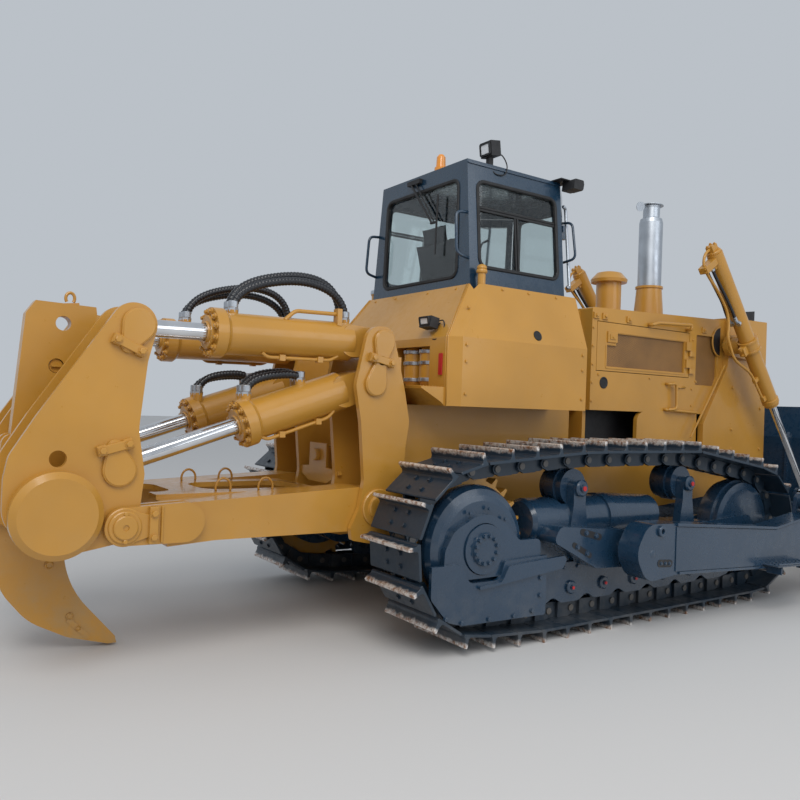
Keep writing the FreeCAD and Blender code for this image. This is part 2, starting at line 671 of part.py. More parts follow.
def knuckle(body, side, low, high, share, arm_share):
    """Round hinge knuckle square to the leaning hinge line of a cab door, with a strap along the wall to arm_share."""
    out = v.knuckle_out
    ends = []
    for z in (low, high):
        corner = door_points(z, side, (share, share), out, 0)[0]
        ends.append(FreeCAD.Vector(corner.x, corner.y, z))
    shares = (min(share, arm_share), max(share, arm_share))
    door_loft(body, "AdditiveLoft", side, shares, out, 1, low + 0.5, high - 0.5)
    line = ends[1] - ends[0]
    sketch = sketch_on(body, "XY_Plane", low, hole(0, 0, out - v.seat_gap))
    sketch.setExpression(".AttachmentOffset.Base.z", None)
    sketch.AttachmentOffset = FreeCAD.Placement(ends[0], FreeCAD.Rotation(FreeCAD.Vector(0, 0, 1), line))
    feature(body, "Pad", sketch, line.Length)


def make_cab_doors(cab):
    gap = 0.014
    for name, side in SIDES:
        wide = (DOOR_SHARES[0] - gap, DOOR_SHARES[1] + gap)
        door_loft(cab, "SubtractiveLoft", side, wide, 60, v.sheet + 70, DOOR_LOW - 8, DOOR_HIGH + 8)
        body = new_body("cab_door_" + name)
        door_loft(body, "AdditiveLoft", side, DOOR_SHARES, 0, v.sheet, DOOR_LOW, DOOR_HIGH)
        door_loft(body, "SubtractiveLoft", side, (0.24, 0.80), 20, v.sheet + 20, 2420, DOOR_HIGH - 70)
        hinge_share = DOOR_SHARES[0] - gap / 2
        for z in (DOOR_LOW + 160, DOOR_HIGH - 300):
            knuckle(body, side, z, z + 60, hinge_share, DOOR_SHARES[0] + 0.14)
            knuckle(cab, side, z - 60, z - 4, hinge_share, 0.02)
        glass = new_body("cab_door_glass_" + name)
        door_loft(glass, "AdditiveLoft", side, (0.241, 0.799), -16, 24, 2420.3, DOOR_HIGH - 70.3)


def pane(body, role, place, lean, outline):
    """Pane on a leaning wall: place is a point in the plane's own axes, lean tips the plane about its level axis."""
    sketch = body.newObject("Sketcher::SketchObject", "Outline")
    sketch.AttachmentSupport = [(plane_of(body, role), "")]
    sketch.MapMode = "FlatFace"
    sketch.AttachmentOffset = FreeCAD.Placement(vector(*place[:2]) + FreeCAD.Vector(0, 0, place[2]),
                                                FreeCAD.Rotation(FreeCAD.Vector(1, 0, 0), lean))
    sketch.addGeometry(outline)
    feature(body, "Pad", sketch, 8)


def make_cab_glass():
    """Panes of the fixed windows, set in the middle of the wall."""
    body = new_body("cab_glass")
    middle = 3000
    share = (middle - v.cab_floor) / (v.cab_top - v.cab_floor)
    inset = v.sheet / 2
    half = v.cab_low_half + (v.cab_top_half - v.cab_low_half) * share - inset
    lean = degrees(atan2(v.cab_low_half - v.cab_top_half, v.cab_top - v.cab_floor))
    wall = loop([(432.3, -320.5, 60), (1257.7, -320.5, 60), (1257.7, 335.5, 60), (432.3, 335.5, 60)])
    for side in (RIGHT, LEFT):
        pane(body, "XZ_Plane", (0, middle, -side * half - 4), side * lean, wall)
    rear = v.cab_rear_x + inset + 14 * share
    pane(body, "YZ_Plane", (0, middle, rear - 4), degrees(atan2(14, v.cab_top - v.cab_floor)),
         loop([(-499.7, -389.5, 60), (499.7, -389.5, 60), (479.7, 349.5, 60), (-479.7, 349.5, 60)]))
    front = v.cab_front_x - inset - 30 * share
    pane(body, "YZ_Plane", (0, middle, front - 4), -degrees(atan2(30, v.cab_top - v.cab_floor)),
         loop([(-264.7, -579.4, 50), (264.7, -579.4, 50), (239.7, 349.4, 50), (-239.7, 349.4, 50)]))


def make_seat():
    body = new_body("seat_base")
    upright(body, box(620, 980, -190, 190), v.cab_floor + v.sheet, v.cab_floor + 330)
    for side in (RIGHT, LEFT):
        low, high = beside(side, "300", "420")
        across(body, loop([(560, v.cab_floor + v.sheet), (1180, v.cab_floor + v.sheet), (1180, 2520, 40),
                           (560, 2480, 40)]), low, high)
    body = new_body("seat")
    across(body, loop([(560, 2320, 40), (1060, 2320, 50), (1060, 2450, 60), (680, 2440, 60), (560, 2980, 60),
                       (440, 2960, 60)]), -255, 255)
    across(body, loop([(475, 2940), (550, 2950), (530, 3150, 30), (450, 3140, 30)]), -140, 140)


def hood_top(x):
    share = (x - v.hood_rear_x) / (v.hood_front_x - v.hood_rear_x)
    return v.hood_rear_top + (v.hood_front_top - v.hood_rear_top) * share


def make_hood():
    rear, front, low, wall = v.hood_rear_x, v.hood_front_x, v.hood_low, v.sheet
    half = "Sizes.hood_half"
    body = new_body("hood")
    across(body, loop([(rear, low), (front, low), (front, hood_top(front)), (rear, hood_top(rear), 20)]),
           "-" + half, half)
    across(body, loop([(rear + wall, low - 10), (front + 10, low - 10), (front + 10, hood_top(front) - wall),
                       (rear + wall, hood_top(rear) - wall)]), "-" + half + "+Sizes.sheet", half + "-Sizes.sheet",
           "Pocket")
    doorway = box(v.door_rear_x, v.door_front_x, v.door_low, v.door_high)
    screen = loop([(3296, 1905), (3600, 1905), (3640, 1990, 60), (3640, 2395, 20), (3296, 2395, 20)])
    across(body, doorway, "-" + half, half, "Pocket")
    across(body, screen, "-" + half, half, "Pocket")
    skirt = loop([(2440, v.guard_low + 100), (3335, v.guard_low + 100), (3335, low), (2440, low, 90)])
    for side in (RIGHT, LEFT):
        across(body, skirt, *beside(side, half + "-Sizes.sheet", half))
    along(body, box(-480, 480, v.guard_low + 100, low + 20), rear, rear + wall)
    for x, radius in ((v.stack_x, v.stack_base_radius), (v.cleaner_x, v.cleaner_radius)):
        upright(body, hole(x, 0, radius + v.seat_gap), v.hood_rear_top - 100, v.hood_front_top + 50, "Pocket")
    across(body, loop([(v.cowl_rear_x, low), (rear, low), (rear, hood_top(rear) - 20),
                       (v.cowl_rear_x, hood_top(rear) - 24, 20)]), "-Sizes.cowl_half", "Sizes.cowl_half")
    screens = new_body("hood_screens")
    for side in (RIGHT, LEFT):
        across(screens, screen, *beside(side, half + "-26", half + "-20"))


def make_engine_doors(hood):
    gap, out = v.running_gap, v.lug_out
    half = "Sizes.hood_half"
    hinge_x = v.door_front_x - 3
    for name, side in SIDES:
        body = new_body("engine_door_" + name)
        near, far = beside(side, half + "-Sizes.sheet", half)
        x0, x1, z0, z1 = v.door_rear_x + gap, v.door_front_x - gap, v.door_low + gap, v.door_high - gap
        window = loop([(x0 + 130, z0 + 40), (x1 - 80, z0 + 40), (x1 - 80, z1 - 90), (x0 + 250, z1 - 90),
                       (x0 + 250, z1 - 200), (x0 + 130, z1 - 200)])
        across(body, box(x0, x1, z0, z1) + window, near, far)
        near, far = beside(side, half + "-26", half + "-20")
        across(body, window, near, far)
        near, far = beside(side, half, half + "+2*Sizes.lug_out")
        for z in (z0 + 90, z1 - 170):
            round_face = hole(hinge_x, side * (v.hood_half + out), out)
            across(body, box(x1 - 70, hinge_x, z, z + 80), near, far)
            upright(body, round_face, z, z + 80)
            across(hood, box(hinge_x, hinge_x + 60, z - 54, z - 4), near, far)
            upright(hood, round_face, z - 54, z - 4)


def make_guard():
    body = new_body("radiator_guard")
    front, low, top = v.guard_front_x, v.guard_low, hood_top(v.hood_front_x) + 22
    side_plate = loop([(3360, low), (3360, 1527), (3735, 2108), (v.hood_front_x, 2300), (v.hood_front_x, top),
                       (front - 10, top + 10), (front, low)])
    for side in (RIGHT, LEFT):
        near, far = beside(side, "Sizes.hood_half", "Sizes.guard_half")
        across(body, side_plate, near, far)
        near, far = beside(side, "Sizes.guard_half", "Sizes.lift_y-Sizes.lift_barrel_radius-90")
        across(body, stadium(v.lift_pivot_x, v.lift_pivot_z, v.hood_front_x + 260, v.lift_pivot_z, 105, 130), near, far)
    half = "Sizes.hood_half"
    across(body, loop([(v.hood_front_x + 4, top - 60), (v.hood_front_x + 4, top), (front - 10, top + 10),
                       (front - 10, top - 60)]), "-" + half, half)
    frame = box(-v.hood_half, v.hood_half, low + 30, top - 60) + box(-480, 480, low + 110, top - 130)
    along(body, frame, front - 90, front - 20)
    along(body, box(-v.hood_half, v.hood_half, low + 30, low + 62), v.hood_front_x - 140, front - 90)
    for side in (RIGHT, LEFT):
        reach = "Sizes.lift_y-Sizes.lift_barrel_radius-90"
        near, far = beside(side, "Sizes.hood_half+5", reach)
        across(body, hole(v.lift_pivot_x, v.lift_pivot_z, 50.05), near, far, "Pocket")
    grille = new_body("grille")
    x0, x1 = front - 80, front - 50
    count = 15
    z0, z1 = low + 110, top - 130
    step = (z1 - z0) / count
    for y in (-480, -15, 450):
        along(grille, box(y, y + 30, z0, z1), x0, x1)
    slats = []
    for i in range(count):
        slats += loop([(x0 - 20, z0 + (i + 0.7) * step), (x1 - 4, z0 + (i + 0.2) * step),
                       (x1 - 4, z0 + (i + 0.3) * step), (x0 - 20, z0 + (i + 0.8) * step)])
    across(grille, slats, -480, 480)
    radiator = new_body("radiator")
    along(radiator, box(-520, 520, low + 62, top - 60), v.hood_front_x + 200, v.hood_front_x + 380)
    lamps = new_body("lamps")
    for side in (RIGHT, LEFT):
        near, far = beside(side, "360", "520")
        roof = [top + 10 * (x - v.hood_front_x - 4) / (front - 14 - v.hood_front_x) for x in (4190, 4350)]
        across(lamps, loop([(4190, roof[0]), (4350, roof[1]), (4350, top + 130), (4190, top + 110)]), near, far)


def make_work_lamps(lamps):
    """Work lamps on brackets at the roof and on the tank, and the beacon at the rear of the roof."""
    top = v.cab_top
    across(lamps, loop([(545, top + 60), (640, top + 75), (625, top + 190), (530, top + 175)]), -615, -485)
    upright(lamps, box(560, 600, -570, -530), top, top + 80)
    for side in (RIGHT, LEFT):
        across(lamps, loop([(1320, 3420), (1425, 3420), (1440, 3502, 15), (1330, 3502, 15)]), *beside(side, 610, 745))
        across(lamps, box(1240, 1400, top, top + 8), *beside(side, 480, 680))
        across(lamps, box(1350, 1400, 3490, top + 8), *beside(side, 650, 680))
    across(lamps, loop([(-40, 2180), (35, 2165), (50, 2245), (-25, 2260)]), -675, -545)
    rise = (v.tank_top - v.tank_break) / (v.tank_top_rear_x - v.tank_rear_x)
    foot = v.tank_break + (90 - v.tank_rear_x) * rise
    across(lamps, loop([(30, 2200), (v.tank_rear_x + (2200 - v.tank_break) / rise, 2200), (90, foot), (30, foot)]),
           -640, -580)
    body = new_body("beacon")
    turned(body, "XZ_Plane", 160, (400, top), 90,
           [(0, 0), (0, 52), (34, 52), (34, 40), (120, 36), (140, 22), (140, 0)])


def make_exhaust():
    base, foot = hood_top(v.stack_x), v.stack_base_radius
    body = new_body("exhaust_base")
    turned(body, "XZ_Plane", 0, (v.stack_x, base - 30), 90,
           [(0, 0), (0, foot), (40, foot), (362, 126), (362, 138), (384, 138), (384, 0)])
    body = new_body("exhaust_stack")
    turned(body, "XZ_Plane", 0, (v.stack_x, base + 354), 90,
           [(0, 0), (0, 118), (660, 118), (700, 108), (712, 84), (820, 84), (820, 90), (836, 90), (836, 76), (600, 76),
            (600, 0)])
    body = new_body("precleaner")
    turned(body, "XZ_Plane", 0, (v.cleaner_x, hood_top(v.cleaner_x) - 30), 90,
           [(0, 0), (0, v.cleaner_radius), (371, v.cleaner_radius), (371, 172), (401, 178), (466, 120), (481, 60),
            (481, 0)])


# Blade with its arms and lift cylinders

def make_blade():
    body = new_body("blade")
    bx, low, high = v.blade_back_x, v.blade_low, v.blade_high
    profile = [(bx + 150, high), (bx + 70, 960, 1400), (bx + 235, 300), (bx + 300, low), (bx + 275, low),
               (bx + 190, 250), (bx + 60, 330), (bx, 420), (bx, 1400), (bx + 112, high)]
    across(body, loop(profile), "-Sizes.blade_wing_y", "Sizes.blade_wing_y")
    for side in (RIGHT, LEFT):
        sketch = sketch_on(body, "XZ_Plane", "-(%s)" % (side * v.blade_wing_y), loop(profile))
        wing = feature(body, "Pad", sketch, "Sizes.blade_half-Sizes.blade_wing_y")
        wing.UseCustomVector = True
        wing.Direction = FreeCAD.Vector(v.blade_wing_reach, side * (v.blade_half - v.blade_wing_y), 0)
        wing.AlongSketchNormal = True
    across(body, loop([(bx - 90, 470, 30), (bx, 470), (bx, 700), (bx - 90, 700, 30)]), -1380, 1380)
    for y in (-1180, -500, -15, 470, 1150):
        across(body, loop([(bx, 700), (bx - 60, 760), (bx - 40, 1400), (bx, 1460)]), y, y + 30)
    for side in (RIGHT, LEFT):
        for near, far in (("-93", "-61"), ("+61", "+93")):
            across(body, stadium(v.lift_eye_x, v.lift_eye_z, bx - 60, v.lift_eye_z, 80, 80),
                   *beside(side, "Sizes.lift_y" + near, "Sizes.lift_y" + far))
        for near, far in (("-72", "-40"), ("+40", "+72")):
            across(body, stadium(bx - 40, 1380, bx + 30, 1380, 75, 80),
                   *beside(side, "Sizes.trunnion_y" + near, "Sizes.trunnion_y" + far))


def make_push_arms():
    bx = v.blade_back_x
    x, z = v.trunnion_x, v.trunnion_z
    reach = v.blade_wing_reach / (v.blade_half - v.blade_wing_y)
    for name, side in SIDES:
        body = new_body("push_arm_" + name)
        half = v.arm_thick / 2
        near, far = beside(side, "Sizes.trunnion_y-Sizes.arm_thick/2", "Sizes.trunnion_y+Sizes.arm_thick/2")
        outline = loop([(x - 190, z + 10, 150), (x - 60, z + 215, 150), (x + 272, z + 203), (x + 1589, z + 95, 300),
                        (x + 2026, z + 156, 200), (x + 2260, z + 190, 70), (x + 2500, z - 10, 300),
                        (bx + 130, 560), (bx + 130, 250), (x + 291, z - 170), (x - 60, z - 200, 150)])
        across(body, outline, near, far)
        near_y, far_y = v.trunnion_y - half - 10, v.trunnion_y + half + 10
        wing = loop([(bx + (near_y - v.blade_wing_y) * reach, side * near_y),
                     (bx + (far_y - v.blade_wing_y) * reach, side * far_y), (bx + 400, side * far_y),
                     (bx + 400, side * near_y)])
        upright(body, wing, 200, 700, "Pocket")
        ball = v.trunnion_radius + v.seat_gap
        profile = [(v.trunnion_y - half - 5, 0), (v.trunnion_y - half - 5, 78), (v.trunnion_y - ball * 0.5, 78)]
        profile += [(v.trunnion_y + ball * sin(radians(a)), ball * cos(radians(a))) for a in range(-30, 90, 15)]
        profile += [(v.trunnion_y + ball, 0)]
        turned_across(body, x, z, [(side * t, r) for t, r in profile], "Groove")
        x0, z0, x1, z1 = x + 2230, z + 270, bx - 40, 1380
        for near, far in (("-72", "-40"), ("+40", "+72")):
            across(body, stadium(x0, z0, x0, z0 - 180, 78, 110),
                   *beside(side, "Sizes.trunnion_y" + near, "Sizes.trunnion_y" + far))
        strut = new_body("blade_strut_" + name)
        length, angle = hypot(x1 - x0, z1 - z0), degrees(atan2(z1 - z0, x1 - x0))
        turned(strut, "XZ_Plane", -side * v.trunnion_y, (x0, z0), angle,
               [(120, 0), (120, 70), (150, 92), (900, 92), (900, 60), (length - 120, 60), (length - 120, 0)])
        u = (cos(radians(angle)), sin(radians(angle)))
        for x2, z2, way in ((x0, z0, 1), (x1, z1, -1)):
            neck = stadium(x2, z2, x2 + way * 110 * u[0], z2 + way * 110 * u[1], 70, 58)
            across(strut, neck, *beside(side, "Sizes.trunnion_y-40", "Sizes.trunnion_y+40"))


def make_lift_cylinders():
    x, z = v.lift_pivot_x, v.lift_pivot_z
    angle = degrees(atan2(v.lift_eye_z - z, v.lift_eye_x - x))
    length = hypot(v.lift_eye_z - z, v.lift_eye_x - x)
    radius, rod = v.lift_barrel_radius, v.lift_rod_radius
    for name, side in SIDES:
        body = new_body("lift_barrel_" + name)
        turned(body, "XZ_Plane", -side * v.lift_y, (x, z), angle,
               [(-v.lift_barrel_back, 0), (-v.lift_barrel_back, radius), (-60, radius), (-60, radius + 16),
                (60, radius + 16), (60, radius), (v.lift_barrel_ahead, radius), (v.lift_barrel_ahead, rod + v.shaft_gap),
                (v.lift_barrel_ahead - 70, rod + v.shaft_gap), (v.lift_barrel_ahead - 70, rod + 5),
                (-v.lift_barrel_back + 60, rod + 5), (-v.lift_barrel_back + 60, 0)])
        stub = [(v.guard_half - 50, 0), (v.guard_half - 50, 50), (v.lift_y - radius - 84, 50),
                (v.lift_y - radius - 84, 85), (v.lift_y - radius + 6, 85), (v.lift_y - radius + 6, 0)]
        turned_across(body, x, z, [(side * t, r) for t, r in stub])
        rod_body = new_body("lift_rod_" + name)
        turned(rod_body, "XZ_Plane", -side * v.lift_y, (x, z), angle,
               [(150, 0), (150, rod), (length - 60, rod), (length - 60, 0)])
        near, far = beside(side, "Sizes.lift_y-55", "Sizes.lift_y+55")
        across(rod_body, hole(v.lift_eye_x, v.lift_eye_z, 72), near, far)


# Ripper

def make_ripper_bracket():
    body = new_body("ripper_bracket")
    ax, az = v.tilt_pin_x, v.tilt_pin_z
    mx, mz = v.raise_pin_x, v.raise_pin_z
    lx, lz = v.arm_pin_x, v.arm_pin_z
    rear_edge = [(lx - 60, 650, 60), (lx - 200, 680, 20), (lx - 215, 760, 20), (lx - 150, lz, 120),
                 (lx - 120, 1080, 150), (lx - 160, 1480, 150), (mx - 150, mz - 10, 130), (ax - 120, az + 105, 110),
                 (ax + 70, az + 105, 90)]
    outer = loop(rear_edge + [(-249, mz - 30, 200), (-200, 1486, 120), (-228, 1300, 120), (-235, 1000), (-300, 660)])
    inner = loop(rear_edge + [(-290, mz - 30, 200), (-290, 660)])
    for side in (RIGHT, LEFT):
        across(body, inner, *beside(side, "Sizes.ripper_inner-40", "Sizes.ripper_inner"))
        across(body, outer, *beside(side, "Sizes.ripper_half+12", "Sizes.ripper_half+52"))
        for x, z in ((ax, az), (mx, mz), (lx, lz)):
            across(body, hole(x, z, v.ripper_pin_radius),
                   *beside(side, "Sizes.ripper_inner-10", "Sizes.ripper_half+30"))
            across(body, hole(x, z, v.ripper_pin_radius + 22),
                   *beside(side, "Sizes.ripper_half+40", "Sizes.ripper_half+66"))
    wall = [(-300, 700), (v.hull_rear_x, 780), (v.hull_rear_x, 1940), (-300, 1940)]
    across(body, loop(wall), "-(Sizes.ripper_half+12)", "Sizes.ripper_half+12")
    upright(body, box(-320, -150, -259, 259), 1940 - 240, 2400, "Pocket")


def make_ripper_arm():
    body = new_body("ripper_arm")
    x0, z0, x1, z1 = v.arm_pin_x, v.arm_pin_z, v.carrier_pin_x, v.carrier_pin_z
    end = x1 + 262
    beam = loop([(end, z1 + 112), (x0 - 130, z0 + 138, 200), (x0 + 60, z0 + 120, 100), (x0 + 128, z0, 90),
                 (x0 + 60, z0 - 110, 90), (x0 - 130, z0 - 160, 200), (-1584, 741, 200), (end, 722)])
    ear = stadium(x1, z1, end + 90, z1 + 8, 108, 118)
    for side in (RIGHT, LEFT):
        low, high = beside(side, "400", "Sizes.ripper_half+6")
        across(body, beam, low, high)
        low, high = beside(side, "Sizes.ripper_inner+6", "400")
        across(body, hole(x0, z0, 120), low, high)
        for near, far in (("Sizes.ripper_half-Sizes.ripper_plate-48", "Sizes.ripper_half-Sizes.ripper_plate-6"),
                          ("Sizes.ripper_half+6", "Sizes.ripper_half+50")):
            low, high = beside(side, near, far)
            across(body, ear, low, high)
    opening = loop([(-1500, -230, 150), (-760, -230, 150), (-760, 230, 150), (-1500, 230, 150)])
    top = loop([(end, -400), (-700, -400), (-700, 400), (end, 400), (end, 250), (end + 160, 250, 120),
                (end + 160, -250, 120), (end, -250)])
    upright(body, top + opening, 965, 1000)
    for side in (RIGHT, LEFT):
        low, high = beside(side, "Sizes.ripper_inner", "Sizes.ripper_half+60")
        across(body, hole(x0, z0, v.ripper_pin_radius + 0.05), low, high, "Pocket")
        across(body, hole(x1, z1, v.ripper_pin_radius + 0.05), low, high, "Pocket")
    pins = new_body("carrier_pins")
    for side in (RIGHT, LEFT):
        low, high = beside(side, "Sizes.ripper_half-Sizes.ripper_plate-48", "Sizes.ripper_half+56")
        across(pins, hole(x1, z1, v.ripper_pin_radius), low, high)


def make_carrier():
    body = new_body("ripper_carrier")
    tx, tz = v.tilt_eye_x, v.tilt_eye_z
    rx, rz = v.raise_eye_x, v.raise_eye_z
    px, pz = v.carrier_pin_x, v.carrier_pin_z
    dx, dz = v.drum_x, v.drum_z
    outline = loop([(tx - 90, tz + 130, 125), (tx + 140, tz + 120, 125), (tx + 60, tz - 210, 200),
                    (tx + 23, tz - 600, 300), (rx + 145, rz - 26, 100), (px + 100, pz + 121, 80),
                    (px + 108, pz - 60, 90), (px - 20, pz - 100, 90), (dx, dz - 240, 200), (dx - 262, dz - 60, 200),
                    (dx - 262, dz + 200, 120), (dx - 240, dz + 320, 120), (dx - 110, dz + 540, 400)])
    half = "Sizes.ripper_half"
    inner_plate = "Sizes.ripper_inner"
    for side in (RIGHT, LEFT):
        low, high = beside(side, half + "-Sizes.ripper_plate", half)
        across(body, outline, low, high)
        low, high = beside(side, inner_plate, inner_plate + "+Sizes.ripper_plate")
        across(body, outline, low, high)
        turned_across(body, dx, dz, [(side * t, r) for t, r in
                                     ((96, 0), (96, v.drum_radius - 30), (v.ripper_half, v.drum_radius - 30),
                                      (v.ripper_half, v.drum_radius), (v.ripper_half + 70, v.drum_radius),
                                      (v.ripper_half + 100, v.drum_radius - 35), (v.ripper_half + 100, 0))])
    cheek = loop([(dx - 240, dz - 120), (dx + 230, dz - 120), (dx + 300, 1350, 60), (dx - 200, 1350, 60)])
    for side in (RIGHT, LEFT):
        low, high = beside(side, "Sizes.shank_half+Sizes.seat_gap", "96")
        across(body, cheek, low, high)
        low, high = beside(side, "96", inner_plate)
        across(body, box(dx - 180, dx + 270, 1240, 1290), low, high)
    across(body, box(tx - 80, tx - 10, 1430, 1760), "-" + inner_plate, inner_plate)
    for side in (RIGHT, LEFT):
        low, high = beside(side, half + "-60", half + "+110")
        across(body, hole(-2496, 1244, 46), low, high, "Pocket")
        low, high = beside(side, half + "-Sizes.ripper_plate-5", half + "+5")
        across(body, hole(px, pz, v.ripper_pin_radius + 0.05), low, high, "Pocket")
    shank = new_body("ripper_shank")
    front = [(-2184, 2110), (-2330, 700, 300), (-2320, 430, 600), (-2000, 60), (-1990, 16)]
    rear = [(-2040, 16), (-2290, 90, 200), (-2520, 215, 400), (-2690, 430, 300), (-2700, 700), (-2592, 2080),
            (-2540, 2160), (-2190, 2150)]
    across(shank, loop(front + rear) + hole(-2379, 2033, 45) + hole(-2411, 1769, 45), "-Sizes.shank_half",
           "Sizes.shank_half")


# Paths of the hoses (x, z, rounding), outer and inner one of each pair, from the gland back to the pin
HOSE_ROUTES = {
    "tilt": ([(-1455, 2172), (-1455, 2310, 150), (-960, 2440, 600), (-630, 2330, 180), (-630, 2182)],
             [(-1455, 2172), (-1455, 2340, 150), (-930, 2490, 550), (-630, 2380, 180), (-630, 2182)]),
    "raise": ([(-1346, 1640), (-1346, 1742, 80), (-960, 1800, 40), (-960, 1750)],
              [(-1346, 1640), (-1346, 1758, 80), (-960, 1816, 40), (-960, 1750)]),
}


def make_ripper_cylinders():
    for word, pin_x, pin_z, eye_x, eye_z, gland in (
            ("tilt", v.tilt_pin_x, v.tilt_pin_z, v.tilt_eye_x, v.tilt_eye_z, v.tilt_gland),
            ("raise", v.raise_pin_x, v.raise_pin_z, v.raise_eye_x, v.raise_eye_z, v.raise_gland)):
        angle = degrees(atan2(eye_z - pin_z, eye_x - pin_x))
        length = hypot(eye_z - pin_z, eye_x - pin_x)
        radius, rod = v.ripper_barrel_radius, v.ripper_rod_radius
        for name, side in SIDES:
            body = new_body("ripper_%s_barrel_%s" % (word, name))
            turned(body, "XZ_Plane", -side * v.cylinder_y, (pin_x, pin_z), angle,
                   [(170, 0), (170, radius), (gland - 70, radius), (gland - 70, radius + 24), (gland, radius + 24),
                    (gland, rod + v.shaft_gap), (gland - 90, rod + v.shaft_gap), (gland - 90, rod + 5),
                    (210, rod + 5), (210, 0)])
            near, far = beside(side, "Sizes.cylinder_y-110", "Sizes.cylinder_y+110")
            tip_x, tip_z = pin_x + 175 * cos(radians(angle)), pin_z + 175 * sin(radians(angle))
            across(body, stadium(pin_x, pin_z, tip_x, tip_z, 100, 110), near, far)
            near, far = beside(side, "Sizes.cylinder_y-130", "Sizes.cylinder_y+130")
            across(body, hole(pin_x, pin_z, v.ripper_pin_radius + 0.05), near, far, "Pocket")
            hoses = new_body("hoses_%s_%s" % (word, name))
            for y, corners in zip((v.cylinder_y, v.hose_inner_y), HOSE_ROUTES[word]):
                for x, z in (corners[0], corners[-1]):
                    upright(body, hole(x, side * y, v.port_radius), z - 70, z)
                hose(hoses, side * y, corners, v.hose_radius)
            rod_body = new_body("ripper_%s_rod_%s" % (word, name))
            turned(rod_body, "XZ_Plane", -side * v.cylinder_y, (pin_x, pin_z), angle,
                   [(530, 0), (530, rod), (length - 70, rod), (length - 70, 0)])
            near, far = beside(side, "Sizes.cylinder_y-Sizes.ripper_eye_half",
                               "Sizes.cylinder_y+Sizes.ripper_eye_half")
            across(rod_body, hole(eye_x, eye_z, v.ripper_eye_radius), near, far)


def report_and_save():
    doc.recompute()
    for item in doc.Objects:
        if "Invalid" in item.State or "Error" in item.State:
            owner = item.getParentGeoFeatureGroup()
            raise RuntimeError("%s of %s is not made: %s" % (item.Name, owner and owner.Label, item.State))
    os.makedirs("parts", exist_ok=True)
    for node in NODES:
        shape = node.Shape
        if shape.isNull() or not shape.isValid():
            raise RuntimeError(node.Label + " has no valid shape")
        shape.exportStep("parts/%s.step" % node.Label)
        print(node.Label, len(shape.Solids), "solids", round(shape.Volume / 1e9, 3), "m3")


make_tracks()
make_sprockets()
make_rollers()
make_idlers()
make_final_drives()
make_track_frames()
make_hull()
make_cross_shafts()
make_engine()
make_tank()
make_cab()
make_cab_doors(doc.getObject("cab"))
make_cab_glass()
make_seat()
make_hood()
make_engine_doors(doc.getObject("hood"))
make_guard()
make_work_lamps(doc.getObject("lamps"))
make_exhaust()
make_blade()
make_push_arms()
make_lift_cylinders()
make_ripper_bracket()
make_ripper_arm()
make_carrier()
make_ripper_cylinders()
report_and_save()
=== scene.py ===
import json
from math import cos, pi, radians, sin

import bpy
import numpy as np
from mathutils import Matrix, Vector


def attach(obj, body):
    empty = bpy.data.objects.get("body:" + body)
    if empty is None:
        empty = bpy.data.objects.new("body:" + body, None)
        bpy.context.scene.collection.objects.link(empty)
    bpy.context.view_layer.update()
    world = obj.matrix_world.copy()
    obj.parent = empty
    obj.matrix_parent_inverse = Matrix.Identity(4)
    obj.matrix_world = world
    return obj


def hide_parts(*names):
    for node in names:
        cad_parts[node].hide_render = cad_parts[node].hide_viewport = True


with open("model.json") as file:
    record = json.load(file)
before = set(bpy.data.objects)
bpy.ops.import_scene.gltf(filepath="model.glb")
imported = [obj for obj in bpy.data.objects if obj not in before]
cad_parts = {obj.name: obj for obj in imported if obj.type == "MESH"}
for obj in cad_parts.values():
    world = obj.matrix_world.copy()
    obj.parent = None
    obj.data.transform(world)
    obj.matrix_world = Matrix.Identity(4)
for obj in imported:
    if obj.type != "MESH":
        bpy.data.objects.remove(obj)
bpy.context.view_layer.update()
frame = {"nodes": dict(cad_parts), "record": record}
NODES = frame["nodes"]

# Places are given in millimetres of the machine: x ahead of the sprocket axle, y to the left of the middle, z
# above the ground. at() and placed() put them into the frame of the part, in metres.
MIDDLE = 1.489          # middle of the machine ahead of the sprocket axle, m
SIDES = (("right", -1), ("left", 1))


# Materials

def material(name, base, rough=0.5, metal=0.0, coat=0.0):
    """Even finish of one colour, gloss and metal share under a clear coat."""
    mat = bpy.data.materials.new(name)
    mat.use_nodes = True
    tree = mat.node_tree
    shader = tree.nodes["Principled BSDF"]
    shader.inputs["Base Color"].default_value = (*base, 1)
    shader.inputs["Roughness"].default_value = rough
    shader.inputs["Metallic"].default_value = metal
    shader.inputs["Coat Weight"].default_value = coat
    shader.inputs["Coat Roughness"].default_value = 0.12
    return mat, tree, shader


def own_place(tree):
    """Object coordinates of the surface."""
    return tree.nodes.new("ShaderNodeTexCoord").outputs["Object"]


def noise(tree, scale, detail=4.0, rough=0.55):
    """Cloudy pattern between 0 and 1, with scale clouds in a metre."""
    tex = tree.nodes.new("ShaderNodeTexNoise")
    tex.inputs["Scale"].default_value = scale
    tex.inputs["Detail"].default_value = detail
    tex.inputs["Roughness"].default_value = rough
    tree.links.new(own_place(tree), tex.inputs["Vector"])
    return tex.outputs["Fac"]


def ramp(tree, value, low, high, out_low=0.0, out_high=1.0):
    """Straight line from out_low at low to out_high at high, level beyond both."""
    node = tree.nodes.new("ShaderNodeMapRange")
    node.clamp = True
    node.inputs["From Min"].default_value = low
    node.inputs["From Max"].default_value = high
    node.inputs["To Min"].default_value = out_low
    node.inputs["To Max"].default_value = out_high
    tree.links.new(value, node.inputs["Value"])
    return node.outputs["Result"]


